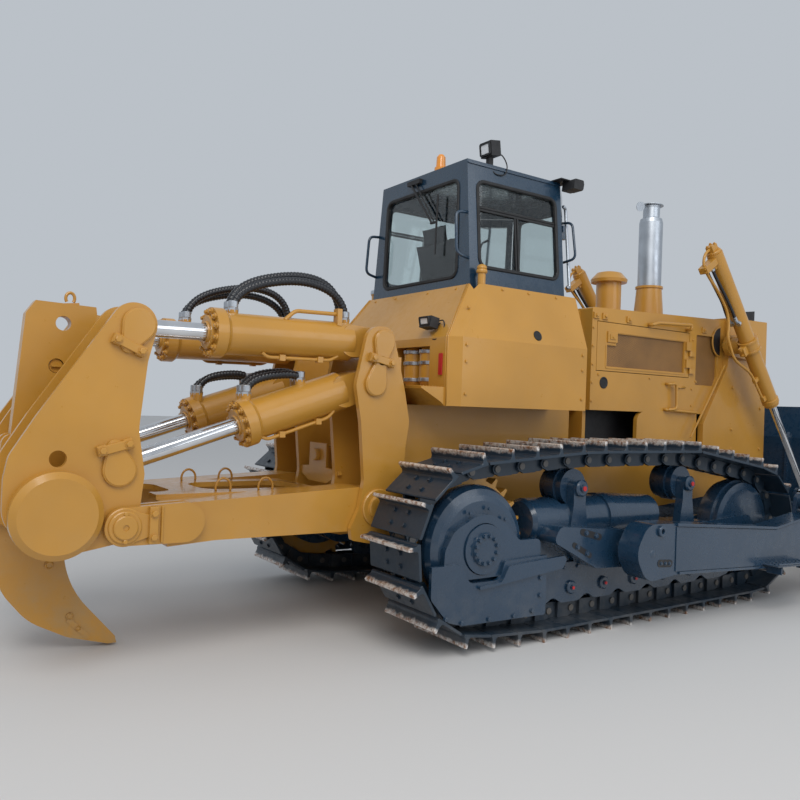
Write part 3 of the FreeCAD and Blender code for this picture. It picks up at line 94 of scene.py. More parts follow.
def mix(tree, fac, a, b):
    """Colour a where fac is 0 and b where it is 1; each is a colour or an output."""
    node = tree.nodes.new("ShaderNodeMix")
    node.data_type = "RGBA"
    tree.links.new(fac, node.inputs["Factor"])
    for socket, value in ((node.inputs["A"], a), (node.inputs["B"], b)):
        if isinstance(value, tuple):
            socket.default_value = (*value, 1)
        else:
            tree.links.new(value, socket)
    return node.outputs["Result"]


def times(tree, a, b):
    """Output a multiplied by b, an output or a number."""
    node = tree.nodes.new("ShaderNodeMath")
    node.operation = "MULTIPLY"
    tree.links.new(a, node.inputs[0])
    if isinstance(b, float):
        node.inputs[1].default_value = b
    else:
        tree.links.new(b, node.inputs[1])
    return node.outputs["Value"]


def bump(tree, shader, value, strength, distance):
    """Relief of the paint and of the coat over it, from one height output."""
    node = tree.nodes.new("ShaderNodeBump")
    node.inputs["Strength"].default_value = strength
    node.inputs["Distance"].default_value = distance
    tree.links.new(value, node.inputs["Height"])
    tree.links.new(node.outputs["Normal"], shader.inputs["Normal"])
    tree.links.new(node.outputs["Normal"], shader.inputs["Coat Normal"])


def coordinate(tree, axis):
    """One Object coordinate, in metres."""
    split = tree.nodes.new("ShaderNodeSeparateXYZ")
    tree.links.new(own_place(tree), split.inputs["Vector"])
    return split.outputs[axis]


def shade(base, share):
    """The same colour, darker."""
    return tuple(c * share for c in base)


def paint(name, base, dust, rough=0.38, coat=0.35, dust_top=0.9):
    """Sprayed paint: slow change of tone, dust in patches that thin out up to dust_top, faint orange peel."""
    mat, tree, shader = material(name, base, rough, 0.0, coat)
    tone = ramp(tree, noise(tree, scale=1.3, detail=3), 0.35, 0.65)
    low = ramp(tree, coordinate(tree, "Z"), 0.0, dust_top, 0.75, 0.06)
    patch = ramp(tree, noise(tree, scale=5.0, detail=8, rough=0.7), 0.42, 0.72)
    colour = mix(tree, times(tree, low, patch), mix(tree, tone, shade(base, 0.86), base), dust)
    tree.links.new(colour, shader.inputs["Base Color"])
    grit = noise(tree, scale=16.0, detail=6, rough=0.65)
    tree.links.new(ramp(tree, grit, 0.3, 0.8, rough - 0.08, rough + 0.22), shader.inputs["Roughness"])
    bump(tree, shader, noise(tree, scale=140.0, detail=2), 0.05, 0.002)
    return mat


def worn_edge(name, base, dust, bare):
    """Paint that is rubbed to bare steel and spots of rust where the attribute wear plus a noise is high."""
    rust, noise_share = (0.28, 0.13, 0.06), 1.1
    mat = paint(name, base, dust, 0.42, 0.2, 0.5)
    tree = mat.node_tree
    shader = tree.nodes["Principled BSDF"]
    colour = shader.inputs["Base Color"].links[0].from_socket
    wear = tree.nodes.new("ShaderNodeAttribute")
    wear.attribute_name = "wear"
    edge = tree.nodes.new("ShaderNodeMath")
    edge.operation = "MULTIPLY_ADD"
    tree.links.new(noise(tree, scale=22.0, detail=5, rough=0.7), edge.inputs[0])
    edge.inputs[1].default_value = noise_share
    tree.links.new(wear.outputs["Fac"], edge.inputs[2])
    mask = ramp(tree, edge.outputs["Value"], 1.02, 1.35)
    spots = ramp(tree, noise(tree, scale=30.0, detail=6, rough=0.7), 0.45, 0.62)
    tree.links.new(mix(tree, mask, colour, mix(tree, spots, bare, rust)), shader.inputs["Base Color"])
    tree.links.new(ramp(tree, mask, 0, 1, 0.0, 0.55), shader.inputs["Metallic"])
    return mat


def plain(name, base, rough, metal=0.0, coat=0.0, grain=60.0, depth=0.04):
    """One finish with a faint change of tone, smudges in its gloss and a fine grain."""
    mat, tree, shader = material(name, base, rough, metal, coat)
    tone = ramp(tree, noise(tree, scale=4.0, detail=5), 0.35, 0.65)
    tree.links.new(mix(tree, tone, shade(base, 0.78), base), shader.inputs["Base Color"])
    smudge = noise(tree, scale=9.0, detail=6, rough=0.65)
    tree.links.new(ramp(tree, smudge, 0.3, 0.75, rough * 0.8, rough + 0.14), shader.inputs["Roughness"])
    bump(tree, shader, noise(tree, grain, 3), depth, 0.002)
    return mat


def perforated(name, base, pitch=0.020):
    """Sheet with staggered round holes where sin(fx) sin(fz) is over a level, with f one turn in a pitch. The
    holes are not cut: they are painted near black as the shade seen through them, and pressed in by the bump.
    """
    mat, tree, shader = material(name, base, 0.45)
    waves = []
    for axis in ("X", "Z"):
        wave = tree.nodes.new("ShaderNodeMath")
        wave.operation = "SINE"
        tree.links.new(times(tree, coordinate(tree, axis), 2 * pi / pitch), wave.inputs[0])
        waves.append(wave.outputs["Value"])
    shaded_hole = ramp(tree, times(tree, *waves), 0.28, 0.42)
    tone = ramp(tree, noise(tree, scale=4.0, detail=5), 0.35, 0.7)
    sheet = mix(tree, tone, shade(base, 0.7), base)
    # Painted shade: the holes take a near black colour for the dark space behind the sheet.
    tree.links.new(mix(tree, shaded_hole, sheet, (0.012, 0.010, 0.008)), shader.inputs["Base Color"])
    bump(tree, shader, times(tree, shaded_hole, -1.0), 0.6, 0.004)
    return mat


def glass():
    """Clear tinted pane."""
    mat, _, shader = material("cab_pane", (0.75, 0.82, 0.82), 0.03)
    shader.inputs["Transmission Weight"].default_value = 1.0
    shader.inputs["IOR"].default_value = 1.45
    return mat


DARK_BLUE, PALE_DUST = (0.010, 0.026, 0.046), (0.13, 0.125, 0.12)
YELLOW = paint("yellow_paint", (0.54, 0.262, 0.034), (0.36, 0.27, 0.15), 0.34, 0.4)
SLATE = paint("slate_paint", (0.010, 0.037, 0.076), (0.11, 0.115, 0.12), 0.26, 0.7, 0.5)
CAB = paint("cab_paint", (0.007, 0.033, 0.068), (0.09, 0.10, 0.11), 0.24, 0.7)
TRACK = paint("track_paint", DARK_BLUE, PALE_DUST, 0.40, 0.25, 0.5)
SHOE = worn_edge("shoe_paint", DARK_BLUE, PALE_DUST, (0.74, 0.71, 0.68))
WORN = paint("worn_steel", (0.12, 0.115, 0.11), (0.20, 0.16, 0.12), 0.34, 0.0, 0.6)
# Black paint of the rear wiper and the lamp rims, and also the painted shade of the push arm and casting
# slots and the guard openings.
BLACK_PAINT_AND_SHADE = paint("black_paint_and_shade", (0.012, 0.012, 0.014), (0.08, 0.075, 0.07), 0.5, 0.0)
CHROME = plain("chrome_rod", (0.80, 0.81, 0.83), 0.07, 1.0, 0.0, 30.0, 0.01)
SILVER = plain("silver_sheet", (0.54, 0.58, 0.63), 0.40, 1.0)
CLOTH = plain("seat_cloth", (0.030, 0.032, 0.038), 0.85, 0.0, 0.0, 220.0, 0.4)
HOSE = plain("hose_guard", (0.007, 0.008, 0.012), 0.34, 0.0, 0.25)
RED = plain("red_plastic", (0.55, 0.02, 0.02), 0.4)
RUBBER = plain("rubber", (0.013, 0.013, 0.014), 0.6, 0.0, 0.0, 120.0, 0.15)
AMBER = plain("amber_lens", (0.9, 0.32, 0.02), 0.12, 0.0, 0.8)
LENS = plain("white_lens", (0.82, 0.84, 0.86), 0.10, 0.0, 0.8)
SCREEN = perforated("perforated_sheet", (0.36, 0.175, 0.045))
GLASS = glass()

FINISH = {
    "yellow": YELLOW, "steel_blue": SLATE, "cab_blue": CAB, "track_steel": TRACK, "rod_chrome": CHROME,
    "silver": SILVER, "black_steel": BLACK_PAINT_AND_SHADE, "glass": GLASS, "seat_fabric": CLOTH, "hose_rubber": HOSE,
    "amber": AMBER,
}
OWN_FINISH = {"hood_screens": SCREEN, "accumulators": YELLOW}
for part in frame["record"]["subparts"]:
    mesh = NODES[part["node"]].data
    mesh.materials.clear()
    mesh.materials.append(OWN_FINISH.get(part["node"], FINISH[part["material_slot"]]))


# Places

def at(x, y, z):
    """One place in machine millimetres to metres of the part's frame."""
    return x / 1000 - MIDDLE, y / 1000, z / 1000


def placed(points):
    """Rows of (x, y, z) in machine millimetres to metres of the part's frame."""
    return np.asarray(points, float) / 1000 - (MIDDLE, 0, 0)


def mm(points):
    """Millimetres to metres, without a shift."""
    return np.asarray(points, float) / 1000


def unit(direction):
    """The direction with length 1."""
    return np.asarray(direction, float) / np.linalg.norm(direction)


# Mesh kit: every shape is a profile carried along a path or turned round an axis, worked out as whole arrays.
# Each function gives an array of points and a list of faces, which piece() makes an object.

def piece(name, shape, finish, body, smooth=False, bevel=0.0, wear=None):
    """Makes one mesh object of a shape (points, faces) that rides on a body."""
    verts, faces = shape
    mesh = bpy.data.meshes.new(name)
    mesh.from_pydata(np.asarray(verts).tolist(), [], [list(map(int, f)) for f in faces])
    mesh.materials.append(finish)
    mesh.polygons.foreach_set("use_smooth", [smooth] * len(mesh.polygons))
    if wear is not None:
        mesh.attributes.new("wear", "FLOAT", "POINT").data.foreach_set("value", wear)
    obj = bpy.data.objects.new(name, mesh)
    bpy.context.scene.collection.objects.link(obj)
    if bevel:
        edge = obj.modifiers.new("edge", "BEVEL")
        edge.width = bevel
        edge.segments = 1
        edge.limit_method = "ANGLE"
    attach(obj, body)
    return obj


def skin(rings, sides, closed=False):
    """Quads between neighbouring rings of points. An open skin has a flat face on its first and last ring,
    and a closed one joins the last ring to the first."""
    rows, cols = np.meshgrid(np.arange(rings if closed else rings - 1), np.arange(sides), indexing="ij")
    here, after = rows * sides, (rows + 1) % rings * sides
    turn = (cols + 1) % sides
    faces = np.stack([here + cols, here + turn, after + turn, after + cols], axis=-1).reshape(-1, 4).tolist()
    if not closed:
        faces += [np.arange(sides)[::-1].tolist(), (np.arange(sides) + (rings - 1) * sides).tolist()]
    return faces


def prism(outline, low, high, axis=1):
    """Outline of (a, b) points carried straight from low to high along one axis, with flat ends."""
    flat = np.asarray(outline, float)
    rings = [np.insert(flat, axis, level, axis=1) for level in (low, high)]
    area = np.sum(flat[:, 0] * np.roll(flat[:, 1], -1) - np.roll(flat[:, 0], -1) * flat[:, 1])
    if (area > 0) == (axis == 1):
        rings.reverse()
    return np.vstack(rings), skin(2, len(flat))


def block(low, high):
    """Box between two corners, for the bevel modifier to soften."""
    (x0, y0, z0), (x1, y1, z1) = low, high
    return prism([(x0, z0), (x1, z0), (x1, z1), (x0, z1)], y0, y1)


def side_block(side, x, y, z):
    """Box on one side of the machine from three pairs of limits in mm; y is measured out from the middle."""
    near, far = sorted((side * y[0], side * y[1]))
    return block(at(x[0], near, z[0]), at(x[1], far, z[1]))


def plate(points, side, near, far):
    """Outline of (x, z) in machine millimetres carried from near to far out from the middle, on one side."""
    low, high = sorted((side * near / 1000, side * far / 1000))
    return prism(np.asarray(points, float) / 1000 - (MIDDLE, 0), low, high)


def lathe(profile, centre, axis, sides=32):
    """Profile of (distance along the axis, radius) turned round the axis through centre, with flat ends."""
    along = unit(axis)
    side = unit(np.cross(along, (0, 0, 1) if abs(along[2]) < 0.9 else (1, 0, 0)))
    other = np.cross(along, side)
    profile = np.asarray(profile, float)
    turn = np.linspace(0, 2 * pi, sides, endpoint=False)
    ring = np.cos(turn)[:, None] * side + np.sin(turn)[:, None] * other
    verts = (np.asarray(centre, float) + profile[:, 0, None, None] * along
             + profile[:, 1, None, None] * ring[None]).reshape(-1, 3)
    return verts, skin(len(profile), sides)


def hoop(profile, centre, axis, sides=32):
    """Closed profile of (distance along the axis, radius) turned round the axis: a ring with an open bore."""
    return lathe(profile, centre, axis, sides)[0], skin(len(profile), sides, closed=True)


def tube(path, radius, sides=12):
    """Circle of one radius, or of one for each point, carried along a path with the least twist."""
    path = np.asarray(path, float)
    ahead = np.gradient(path, axis=0)
    ahead /= np.linalg.norm(ahead, axis=1)[:, None]
    side = np.zeros_like(ahead)
    start = np.cross(ahead[0], (0, 0, 1) if abs(ahead[0][2]) < 0.9 else (1, 0, 0))
    for i, direction in enumerate(ahead):
        start = unit(start - direction * np.dot(start, direction))
        side[i] = start
    other = np.cross(ahead, side)
    turn = np.linspace(0, 2 * pi, sides, endpoint=False)
    radii = np.broadcast_to(np.asarray(radius, float), (len(path),))
    ring = np.cos(turn)[None, :, None] * side[:, None] + np.sin(turn)[None, :, None] * other[:, None]
    verts = (path[:, None] + radii[:, None, None] * ring).reshape(-1, 3)
    return verts, skin(len(path), sides)


def rod(points, radius, bend=0.03, sides=10):
    """Round bar through points, with a parabola in place of each inner corner."""
    p = np.asarray(points, float)
    path = [p[0]]
    for i in range(1, len(p) - 1):
        back, ahead = p[i - 1] - p[i], p[i + 1] - p[i]
        run = min(bend, np.linalg.norm(back) / 2.1, np.linalg.norm(ahead) / 2.1)
        start, end = p[i] + unit(back) * run, p[i] + unit(ahead) * run
        share = np.linspace(0, 1, 6)[:, None]
        path += list((1 - share) ** 2 * start + 2 * share * (1 - share) * p[i] + share ** 2 * end)
    path.append(p[-1])
    return tube(path, radius, sides)


def carried(path, normal, profile, closed=True):
    """Strip along a path in a plane: the profile's points are (away from the middle, along the normal)."""
    path, profile = np.asarray(path, float), np.asarray(profile, float)
    normal = np.broadcast_to(np.asarray(normal, float), path.shape)
    if closed:
        ahead = np.roll(path, -1, axis=0) - np.roll(path, 1, axis=0)
    else:
        ahead = np.gradient(path, axis=0)
    out = np.cross(ahead / np.linalg.norm(ahead, axis=1)[:, None], normal)
    verts = (path[:, None] + profile[None, :, 0, None] * out[:, None]
             + profile[None, :, 1, None] * normal[:, None]).reshape(-1, 3)
    return verts, skin(len(path), len(profile), closed)


def rounded(corners, radius, count=6):
    """Closed outline through corners with each one rounded by an arc of count points."""
    p = np.asarray(corners, float)
    back = np.roll(p, 1, axis=0) - p
    ahead = np.roll(p, -1, axis=0) - p
    back /= np.linalg.norm(back, axis=1)[:, None]
    ahead /= np.linalg.norm(ahead, axis=1)[:, None]
    half = np.arccos(np.clip(np.sum(back * ahead, axis=1), -1, 1)) / 2
    middle = back + ahead
    middle /= np.linalg.norm(middle, axis=1)[:, None]
    centre = p + middle * (radius / np.sin(half))[:, None]
    start = p + back * (radius / np.tan(half))[:, None] - centre
    end = p + ahead * (radius / np.tan(half))[:, None] - centre
    share = np.linspace(0, 1, count)[None, :, None]
    turn = pi - 2 * half[:, None, None]
    arcs = (np.sin((1 - share) * turn) * start[:, None] + np.sin(share * turn) * end[:, None]) / np.sin(turn)
    return (centre[:, None] + arcs).reshape(-1, 2)


def smooth_path(points, count=48):
    """Catmull-Rom curve through the points, evenly sampled."""
    p = np.asarray(points, float)
    p = np.vstack([2 * p[0] - p[1], p, 2 * p[-1] - p[-2]])
    spans = len(p) - 3
    t = np.linspace(0, spans, count)
    i = np.minimum(t.astype(int), spans - 1)
    u = (t - i)[:, None]
    a, b, c, d = p[i], p[i + 1], p[i + 2], p[i + 3]
    cubic = 2 * b + (c - a) * u + (2 * a - 5 * b + 4 * c - d) * u ** 2 + (3 * b - a - 3 * c + d) * u ** 3
    return 0.5 * cubic


def hexes(places, axis, radius, height):
    """Bolt heads: a washer and a six-sided head at each place, standing along one axis."""
    washer = [(0, radius * 1.35), (height * 0.25, radius * 1.35)]
    head = [(height * 0.25, radius), (height * 0.9, radius), (height, radius * 0.8)]
    parts = []
    for place in places:
        parts += [lathe(washer, place, axis, 12), lathe(head, place, axis, 6)]
    return joined(parts)


def joined(parts):
    """Several shapes put into one."""
    verts, faces, base = [], [], 0
    for v, f in parts:
        verts.append(v)
        faces += [[i + base for i in face] for face in f]
        base += len(v)
    return np.vstack(verts), faces


def repeated(part, turns, places):
    """One shape put at many places: turns is (n, 3, 3), places is (n, 3)."""
    v, f = part
    turns, places = np.asarray(turns, float), np.asarray(places, float)
    verts = np.einsum("nij,vj->nvi", turns, v) + places[:, None]
    faces = [[i + k * len(v) for i in face] for k in range(len(places)) for face in f]
    return verts.reshape(-1, 3), faces


# Tracks: the same belt of pins as the part, with full shoes, links, bushings and bolts

PITCH, LINKS = 0.2286, 41
TEETH = 27               # every other tooth meets a bushing, so the pins round the sprocket are TEETH / 2
TRACK_Y = 1.070
TRACK_PHASE = 0.3        # share of a pitch that the belt starts ahead
SHOE_HALF = 0.28         # half width of a shoe
AXLE_Z = 680             # sprocket axle, mm
CARRIER_ROLLERS, CARRIER_ROLLER_Z = (960, 2250), 1043
ROLLERS = [560 + i * 352 for i in range(7)]
ROLLER_PIN_Z = 322
WHEELS = np.array([
    # x, z, radius of the pins round it
    (3.170, 0.622, 0.470),                               # idler
    (CARRIER_ROLLERS[1] / 1000, CARRIER_ROLLER_Z / 1000, 0.197),
    (CARRIER_ROLLERS[0] / 1000, CARRIER_ROLLER_Z / 1000, 0.197),
    (0.000, AXLE_Z / 1000, PITCH * TEETH / 2 / (2 * pi)),
    (ROLLERS[0] / 1000, 0.349, 0.197),                   # first roller
])


def track_pins():
    """Pins evenly spaced along straight tangents and arcs round the wheels."""
    centre, radius = WHEELS[:, :2], WHEELS[:, 2]
    ahead = np.roll(centre, -1, axis=0) - centre
    length = np.hypot(ahead[:, 0], ahead[:, 1])
    step = np.roll(radius, -1) - radius
    cross = np.arctan2(step, np.sqrt(length ** 2 - step ** 2))
    out = np.arctan2(ahead[:, 1], ahead[:, 0]) - pi / 2 - cross
    normal = np.stack([np.cos(out), np.sin(out)], axis=1)
    start = centre + radius[:, None] * normal
    end = np.roll(centre, -1, axis=0) + np.roll(radius, -1)[:, None] * normal
    share = np.linspace(0, 1, 400)
    points = []
    for i in range(len(WHEELS)):
        points.append(start[i] + (end[i] - start[i]) * share[:, None])
        k = (i + 1) % len(WHEELS)
        angle = out[i] + (out[k] - out[i]) % (2 * pi) * share
        points.append(centre[k] + radius[k] * np.stack([np.cos(angle), np.sin(angle)], axis=1))
    line = np.vstack(points)
    run = np.concatenate([[0], np.cumsum(np.hypot(*np.diff(line, axis=0).T))])
    places = (np.arange(LINKS) + TRACK_PHASE) * run[-1] / LINKS
    return np.stack([np.interp(places, run, line[:, 0]), np.interp(places, run, line[:, 1])], axis=1)


def link_frames(side):
    """Turn and place of each link: back along the belt, across, and outward."""
    pins = track_pins()
    ahead = np.roll(pins, -1, axis=0) - pins
    ahead /= np.hypot(ahead[:, 0], ahead[:, 1])[:, None]
    zero = np.zeros(LINKS)
    back = np.stack([-ahead[:, 0], zero, -ahead[:, 1]], axis=1)
    across = np.stack([zero, zero + 1, zero], axis=1)
    outward = np.stack([ahead[:, 1], zero, -ahead[:, 0]], axis=1)
    turns = np.stack([back, across, outward], axis=2)
    places = np.stack([pins[:, 0] - MIDDLE, zero + side * TRACK_Y, pins[:, 1]], axis=1)
    return turns, places


def arc(x, y, radius, first, last, count=8):
    """Points on a circle round (x, y) between two angles in degrees."""
    angle = np.radians(np.linspace(first, last, count))
    return np.stack([x + radius * np.cos(angle), y + radius * np.sin(angle)], axis=1)


def tracks():
    """Shoe plate with its grouser, links in two halves that lie beside each other, bushing, pin ends and
    bolts. Outlines are in mm, ahead of the pin and outward from it."""
    shoe = mm([(-8, 61), (212, 61), (222, 66), (223, 76), (214, 80), (48, 80), (37, 86), (31, 100), (29, 146),
               (26, 152), (8, 152), (5, 146), (2, 96), (-2, 84), (-8, 80)])
    half_a = mm(np.vstack([arc(0, 0, 38, 100, 262), [(22, -52), (132, -52), (132, 60), (14, 60)]]))
    far_eye = arc(PITCH * 1000, 0, 38, -80, 80)
    half_b = mm(np.vstack([[(96, 60), (96, -52), (208, -52)], far_eye, [(214, 60)]]))
    for outline in (shoe, half_a, half_b):
        outline[:, 0] *= -1
    shoe_plate = prism(shoe, -SHOE_HALF, SHOE_HALF)
    wear = np.tile(np.clip((shoe_plate[0][:, 2] - 0.09) / 0.06, 0, 1), LINKS)
    bars = []
    for low, high, outline in ((0.052, 0.074, half_a), (0.0745, 0.098, half_b)):
        bars += [prism(outline, low, high), prism(outline, -high, -low)]
    bushing, pin_end = [(-0.052, 0.034), (0.052, 0.034)], [(0, 0.024), (0.007, 0.024), (0.010, 0.020)]
    axis = (0, 1, 0)
    pins = [lathe(bushing, (0, 0, 0), axis, 14)]
    pins += [lathe(pin_end, (0, y, 0), axis, 14) for y in (-0.107, 0.097)]
    heads = hexes([(-x, y, 0.080) for x in (0.075, 0.160) for y in (-0.075, 0.075)], (0, 0, 1), 0.015, 0.014)
    for name, side in SIDES:
        rows = link_frames(side)
        shoes = piece("track_shoes_" + name, repeated(shoe_plate, *rows), SHOE, "chassis",
                      bevel=0.002, wear=wear)
        for word, shape, finish in (("links", joined(bars), TRACK), ("pins", joined(pins), WORN),
                                    ("bolts", heads, TRACK)):
            piece("track_%s_%s" % (word, name), repeated(shape, *rows), finish, "chassis")
        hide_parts("track_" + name)


tracks()


# Undercarriage details

GUARD_BOLTS = [(-320, 265), (-190, 225), (40, 222), (260, 216), (430, 230), (500, 330), (500, 450)]
HUB_FACE, DOME_FACE, GUARD_FACE = 1334, 1290, 1328       # outer faces, from the middle
ROLLER_FACE, CARRIER_ROLLER_FACE = 1226, 1248
ROLLER_CAP = [(0, 0.048), (0.016, 0.048), (0.022, 0.040), (0.022, 0.018), (0.030, 0.018)]
CARRIER_CAP = [(0, 0.062), (0.020, 0.062), (0.030, 0.050), (0.030, 0.030), (0.042, 0.028)]


def undercarriage():
    """Rings and rows of bolt heads, roller caps and their red plugs along both track frames."""
    for name, side in SIDES:
        out = (0, side, 0)

        def ring(radius, face, angles):
            """Places round the sprocket axle."""
            return [at(radius * cos(a), side * face, AXLE_Z + radius * sin(a)) for a in np.radians(angles)]

        upper = [angle for angle in np.arange(10) * 36 + 8 if sin(radians(angle)) > 0.3]
        heads = [hexes(ring(91, HUB_FACE, np.arange(12) * 30 + 15), out, 0.014, 0.016),
                 hexes(ring(265, DOME_FACE, upper), out, 0.011, 0.012),
                 hexes([at(x, side * GUARD_FACE, z) for x, z in GUARD_BOLTS], out, 0.015, 0.014)]
        for x in ROLLERS:
            heads.append(hexes([at(x + dx, side * ROLLER_FACE, 470) for dx in (-70, 70)], out, 0.013, 0.013))
        piece("undercarriage_bolts_" + name, joined(heads), SLATE, "chassis")
        caps, plugs = [], []
        for places, z, face, cap, sides, radius, out_by in (
                (ROLLERS, ROLLER_PIN_Z, ROLLER_FACE, ROLLER_CAP, 24, 0.012, 30),
                (CARRIER_ROLLERS, CARRIER_ROLLER_Z, CARRIER_ROLLER_FACE, CARRIER_CAP, 28, 0.018, 42)):
            caps += [lathe(cap, at(x, side * face, z), out, sides) for x in places]
            plug = [(0, radius), (0.006, radius)]
            plugs += [lathe(plug, at(x, side * (face + out_by), z), out, 12) for x in places]
        piece("roller_caps_" + name, joined(caps), SLATE, "chassis")
        piece("roller_plugs_" + name, joined(plugs), RED, "chassis")


undercarriage()


# Cab details

FLOOR, ROOF = 1990.0, 3496.0                # cab floor and roof above the ground, mm
FLOOR_HALF, SIDE_LEAN = 722.0, 144.0        # half width at the floor, and how far a side wall leans in
REAR_X, REAR_LEAN = 320.0, 14.0             # rear wall at the floor, and how far it leans ahead
FRONT_X, FRONT_LEAN = 1690.0, 30.0          # front wall at the floor, and how far it leans back
SIDE_WINDOW = [(432, 2680), (1258, 2680), (1258, 3335), (432, 3335)]
REAR_WINDOW = [(-500, 2610), (500, 2610), (480, 3350), (-480, 3350)]
FRONT_WINDOW = [(-265, 2420), (265, 2420), (240, 3350), (-240, 3350)]
WINDOW_RADIUS, FRONT_RADIUS = 60, 50
LAMPS = [
    # place, facing, half width and half height in metres
    (at(535, -550, 3613), (-0.98, 0, -0.13), 0.056, 0.046),      # on the roof
    (at(-36, -610, 2222), (-0.98, 0, -0.18), 0.055, 0.030),      # on the tank
]
for side in (-1, 1):
    LAMPS.append((at(4350, side * 440, 2670), (1, 0, 0), 0.066, 0.050))             # on the radiator guard
    LAMPS.append((at(1434, side * 677, 3458), (0.983, 0, -0.18), 0.056, 0.030))     # at the cab's corners


def share_up(z):
    """Share of the cab's height at which z lies."""
    return (np.asarray(z, float) - FLOOR) / (ROOF - FLOOR)


def on_side(points, side, out=0.0):
    """Points (x, z) in mm on the leaning side wall, moved out by a distance."""
    x, z = np.asarray(points, float).T
    return placed(np.stack([x, side * (FLOOR_HALF - SIDE_LEAN * share_up(z) + out), z], axis=1))


def on_rear(points, out=0.0):
    """Points (y, z) in mm on the rear wall, moved out by a distance."""
    y, z = np.asarray(points, float).T
    return placed(np.stack([REAR_X + REAR_LEAN * share_up(z) - out, y, z], axis=1))


def on_front(points):
    """Points (y, z) in mm on the front wall."""
    y, z = np.asarray(points, float).T
    return placed(np.stack([FRONT_X - FRONT_LEAN * share_up(z), y, z], axis=1))


def window_trim():
    """Rubber rims round the windows, and the bars and rails between the panes of the side windows."""
    lean = np.arctan2(SIDE_LEAN, ROOF - FLOOR)
    rim = mm([(-8, -18), (-8, 5), (-2, 11), (14, 11), (20, 5), (20, -4)])
    level_bar = mm([(-9, -8), (9, -8), (9, 10), (-9, 10)])
    upright_bar = mm([(-8, -8), (8, -8), (8, 8), (-8, 8)])
    rims, bars = [], []
    for side in (-1, 1):
        normal = (0, side * cos(lean), sin(lean))
        path = on_side(rounded(SIDE_WINDOW, WINDOW_RADIUS), side)
        rims.append(carried(path if side < 0 else path[::-1], normal, rim))
        for z in (3118, 3140):
            bars.append(carried(on_side([(436, z), (1254, z)], side, -14), normal, level_bar, False))
        for x in (812, 838):
            bars.append(carried(on_side([(x, 2684), (x, 3115)], side, -12), normal, upright_bar, False))
    rims.append(carried(on_rear(rounded(REAR_WINDOW, WINDOW_RADIUS))[::-1], (-1, 0, 0), rim))
    rims.append(carried(on_front(rounded(FRONT_WINDOW, FRONT_RADIUS)), (1, 0, 0), rim))
    piece("cab_rims", joined(rims), RUBBER, "chassis")
    piece("cab_bars", joined(bars), RUBBER, "chassis", bevel=0.001)


def grab_handles():
    """Handles at the four corners of the cab and a rail before each door, bent through points (x, y, z)."""
    rear = [(336, 606, 3080), (222, 606, 3072), (216, 632, 2752), (326, 640, 2728)]
    front = [(1462, 462, 3200), (1480, 590, 3190), (1480, 640, 2880), (1462, 520, 2860)]
    rail = [(1440, 520, 3330), (1500, 486, 3330), (1505, 558, 2640), (1445, 592, 2640)]
    handles, rails = [], []
    for side in (-1, 1):
        for points, radius in ((rear, 0.012), (front, 0.011)):
            handles.append(rod(placed(points * np.array([1, side, 1])), radius, 0.05))
        rails.append(rod(placed(rail * np.array([1, side, 1])), 0.014))
    piece("cab_handles", joined(handles), CAB, "chassis", smooth=True)
    piece("cab_rails", joined(rails), SILVER, "chassis", smooth=True)


def rear_wiper():
    """Two arms from a motor above the rear window, with the blade across their ends. Each bar's points are
    (y, z, distance from the wall)."""
    bars = [([(125, 3440, 6), (120, 3440, 30), (-196, 3070, 34)], 0.009, 0.01),
            ([(60, 3440, 6), (56, 3440, 30), (-226, 3072, 34)], 0.006, 0.01),
            ([(-267, 3278, 30), (-256, 2804, 30)], 0.008, 0.03),
            ([(-190, 3062, 34), (-262, 3060, 32)], 0.011, 0.03)]
    parts = [rod([on_rear([(y, z)], out)[0] for y, z, out in points], radius, bend)
             for points, radius, bend in bars]
    parts.append(block(at(296, -10, 3425), at(330, 160, 3462)))
    piece("rear_wiper", joined(parts), BLACK_PAINT_AND_SHADE, "chassis", bevel=0.001)


def roof_trim():
    """Rain strips along the edges of the roof and the cables of the two rear lamps."""
    strip = mm([(-6, -4), (6, -4), (6, 9), (-6, 9)])
    edge = [(338, 3470), (1322, 3470)]
    strips = [carried(on_side(edge, side), (0, side, 0), strip, False) for side in (-1, 1)]
    piece("roof_strips", joined(strips), CAB, "chassis", bevel=0.001)
    roof_cable = [(600, -545, 3585), (690, -560, 3600), (735, -580, 3520), (700, -592, 3440),
                  (610, -588, 3430), (570, -560, 3492)]
    tank_cable = [(45, -625, 2215), (70, -690, 2230), (60, -715, 2160), (16, -700, 2095), (12, -650, 2090)]
    loops = [tube(smooth_path(placed(points), count), 0.005, 8)
             for points, count in ((roof_cable, 40), (tank_cable, 30))]
    piece("lamp_cables", joined(loops), RUBBER, "chassis", smooth=True)


def lamp_glasses():
    """A rounded pane and a rim on the face of each lamp."""
    rims = []
    for number, (centre, facing, wide, high) in enumerate(LAMPS, 1):
        normal = unit(facing)
        across = np.array([0, -np.sign(normal[0]), 0])
        up = np.cross(normal, across)
        face = rounded([(-wide, -high), (wide, -high), (wide, high), (-wide, high)], 0.010, 4)
        flat = face[:, :1] * across + face[:, 1:] * up
        rims.append(carried(np.array(centre) + flat, normal, mm([(-10, 0), (-10, 12), (4, 12), (4, 0)])))
        pane = np.array(centre) + 0.90 * flat
        verts = np.vstack([pane - normal * 0.004, pane + normal * 0.006])
        glass_shape = verts, skin(2, len(face))
        piece("lamp_glass_%d" % number, glass_shape, LENS, "chassis", bevel=0.001)
    piece("lamp_rims", joined(rims), BLACK_PAINT_AND_SHADE, "chassis")


window_trim()
grab_handles()
rear_wiper()
roof_trim()
lamp_glasses()


# Tank and hood details

SLOPE = (0, -0.945, 0.327)              # facing of the tank's right slope
REAR_BEVEL = (-0.824, 0, 0.566)         # facing of the bevel under the rear window
TANK_TOP, TANK_BREAK, TANK_FOOT = 2524, 2103, 1620
TANK_HALF = 910                         # outer faces of the tank's upright sides


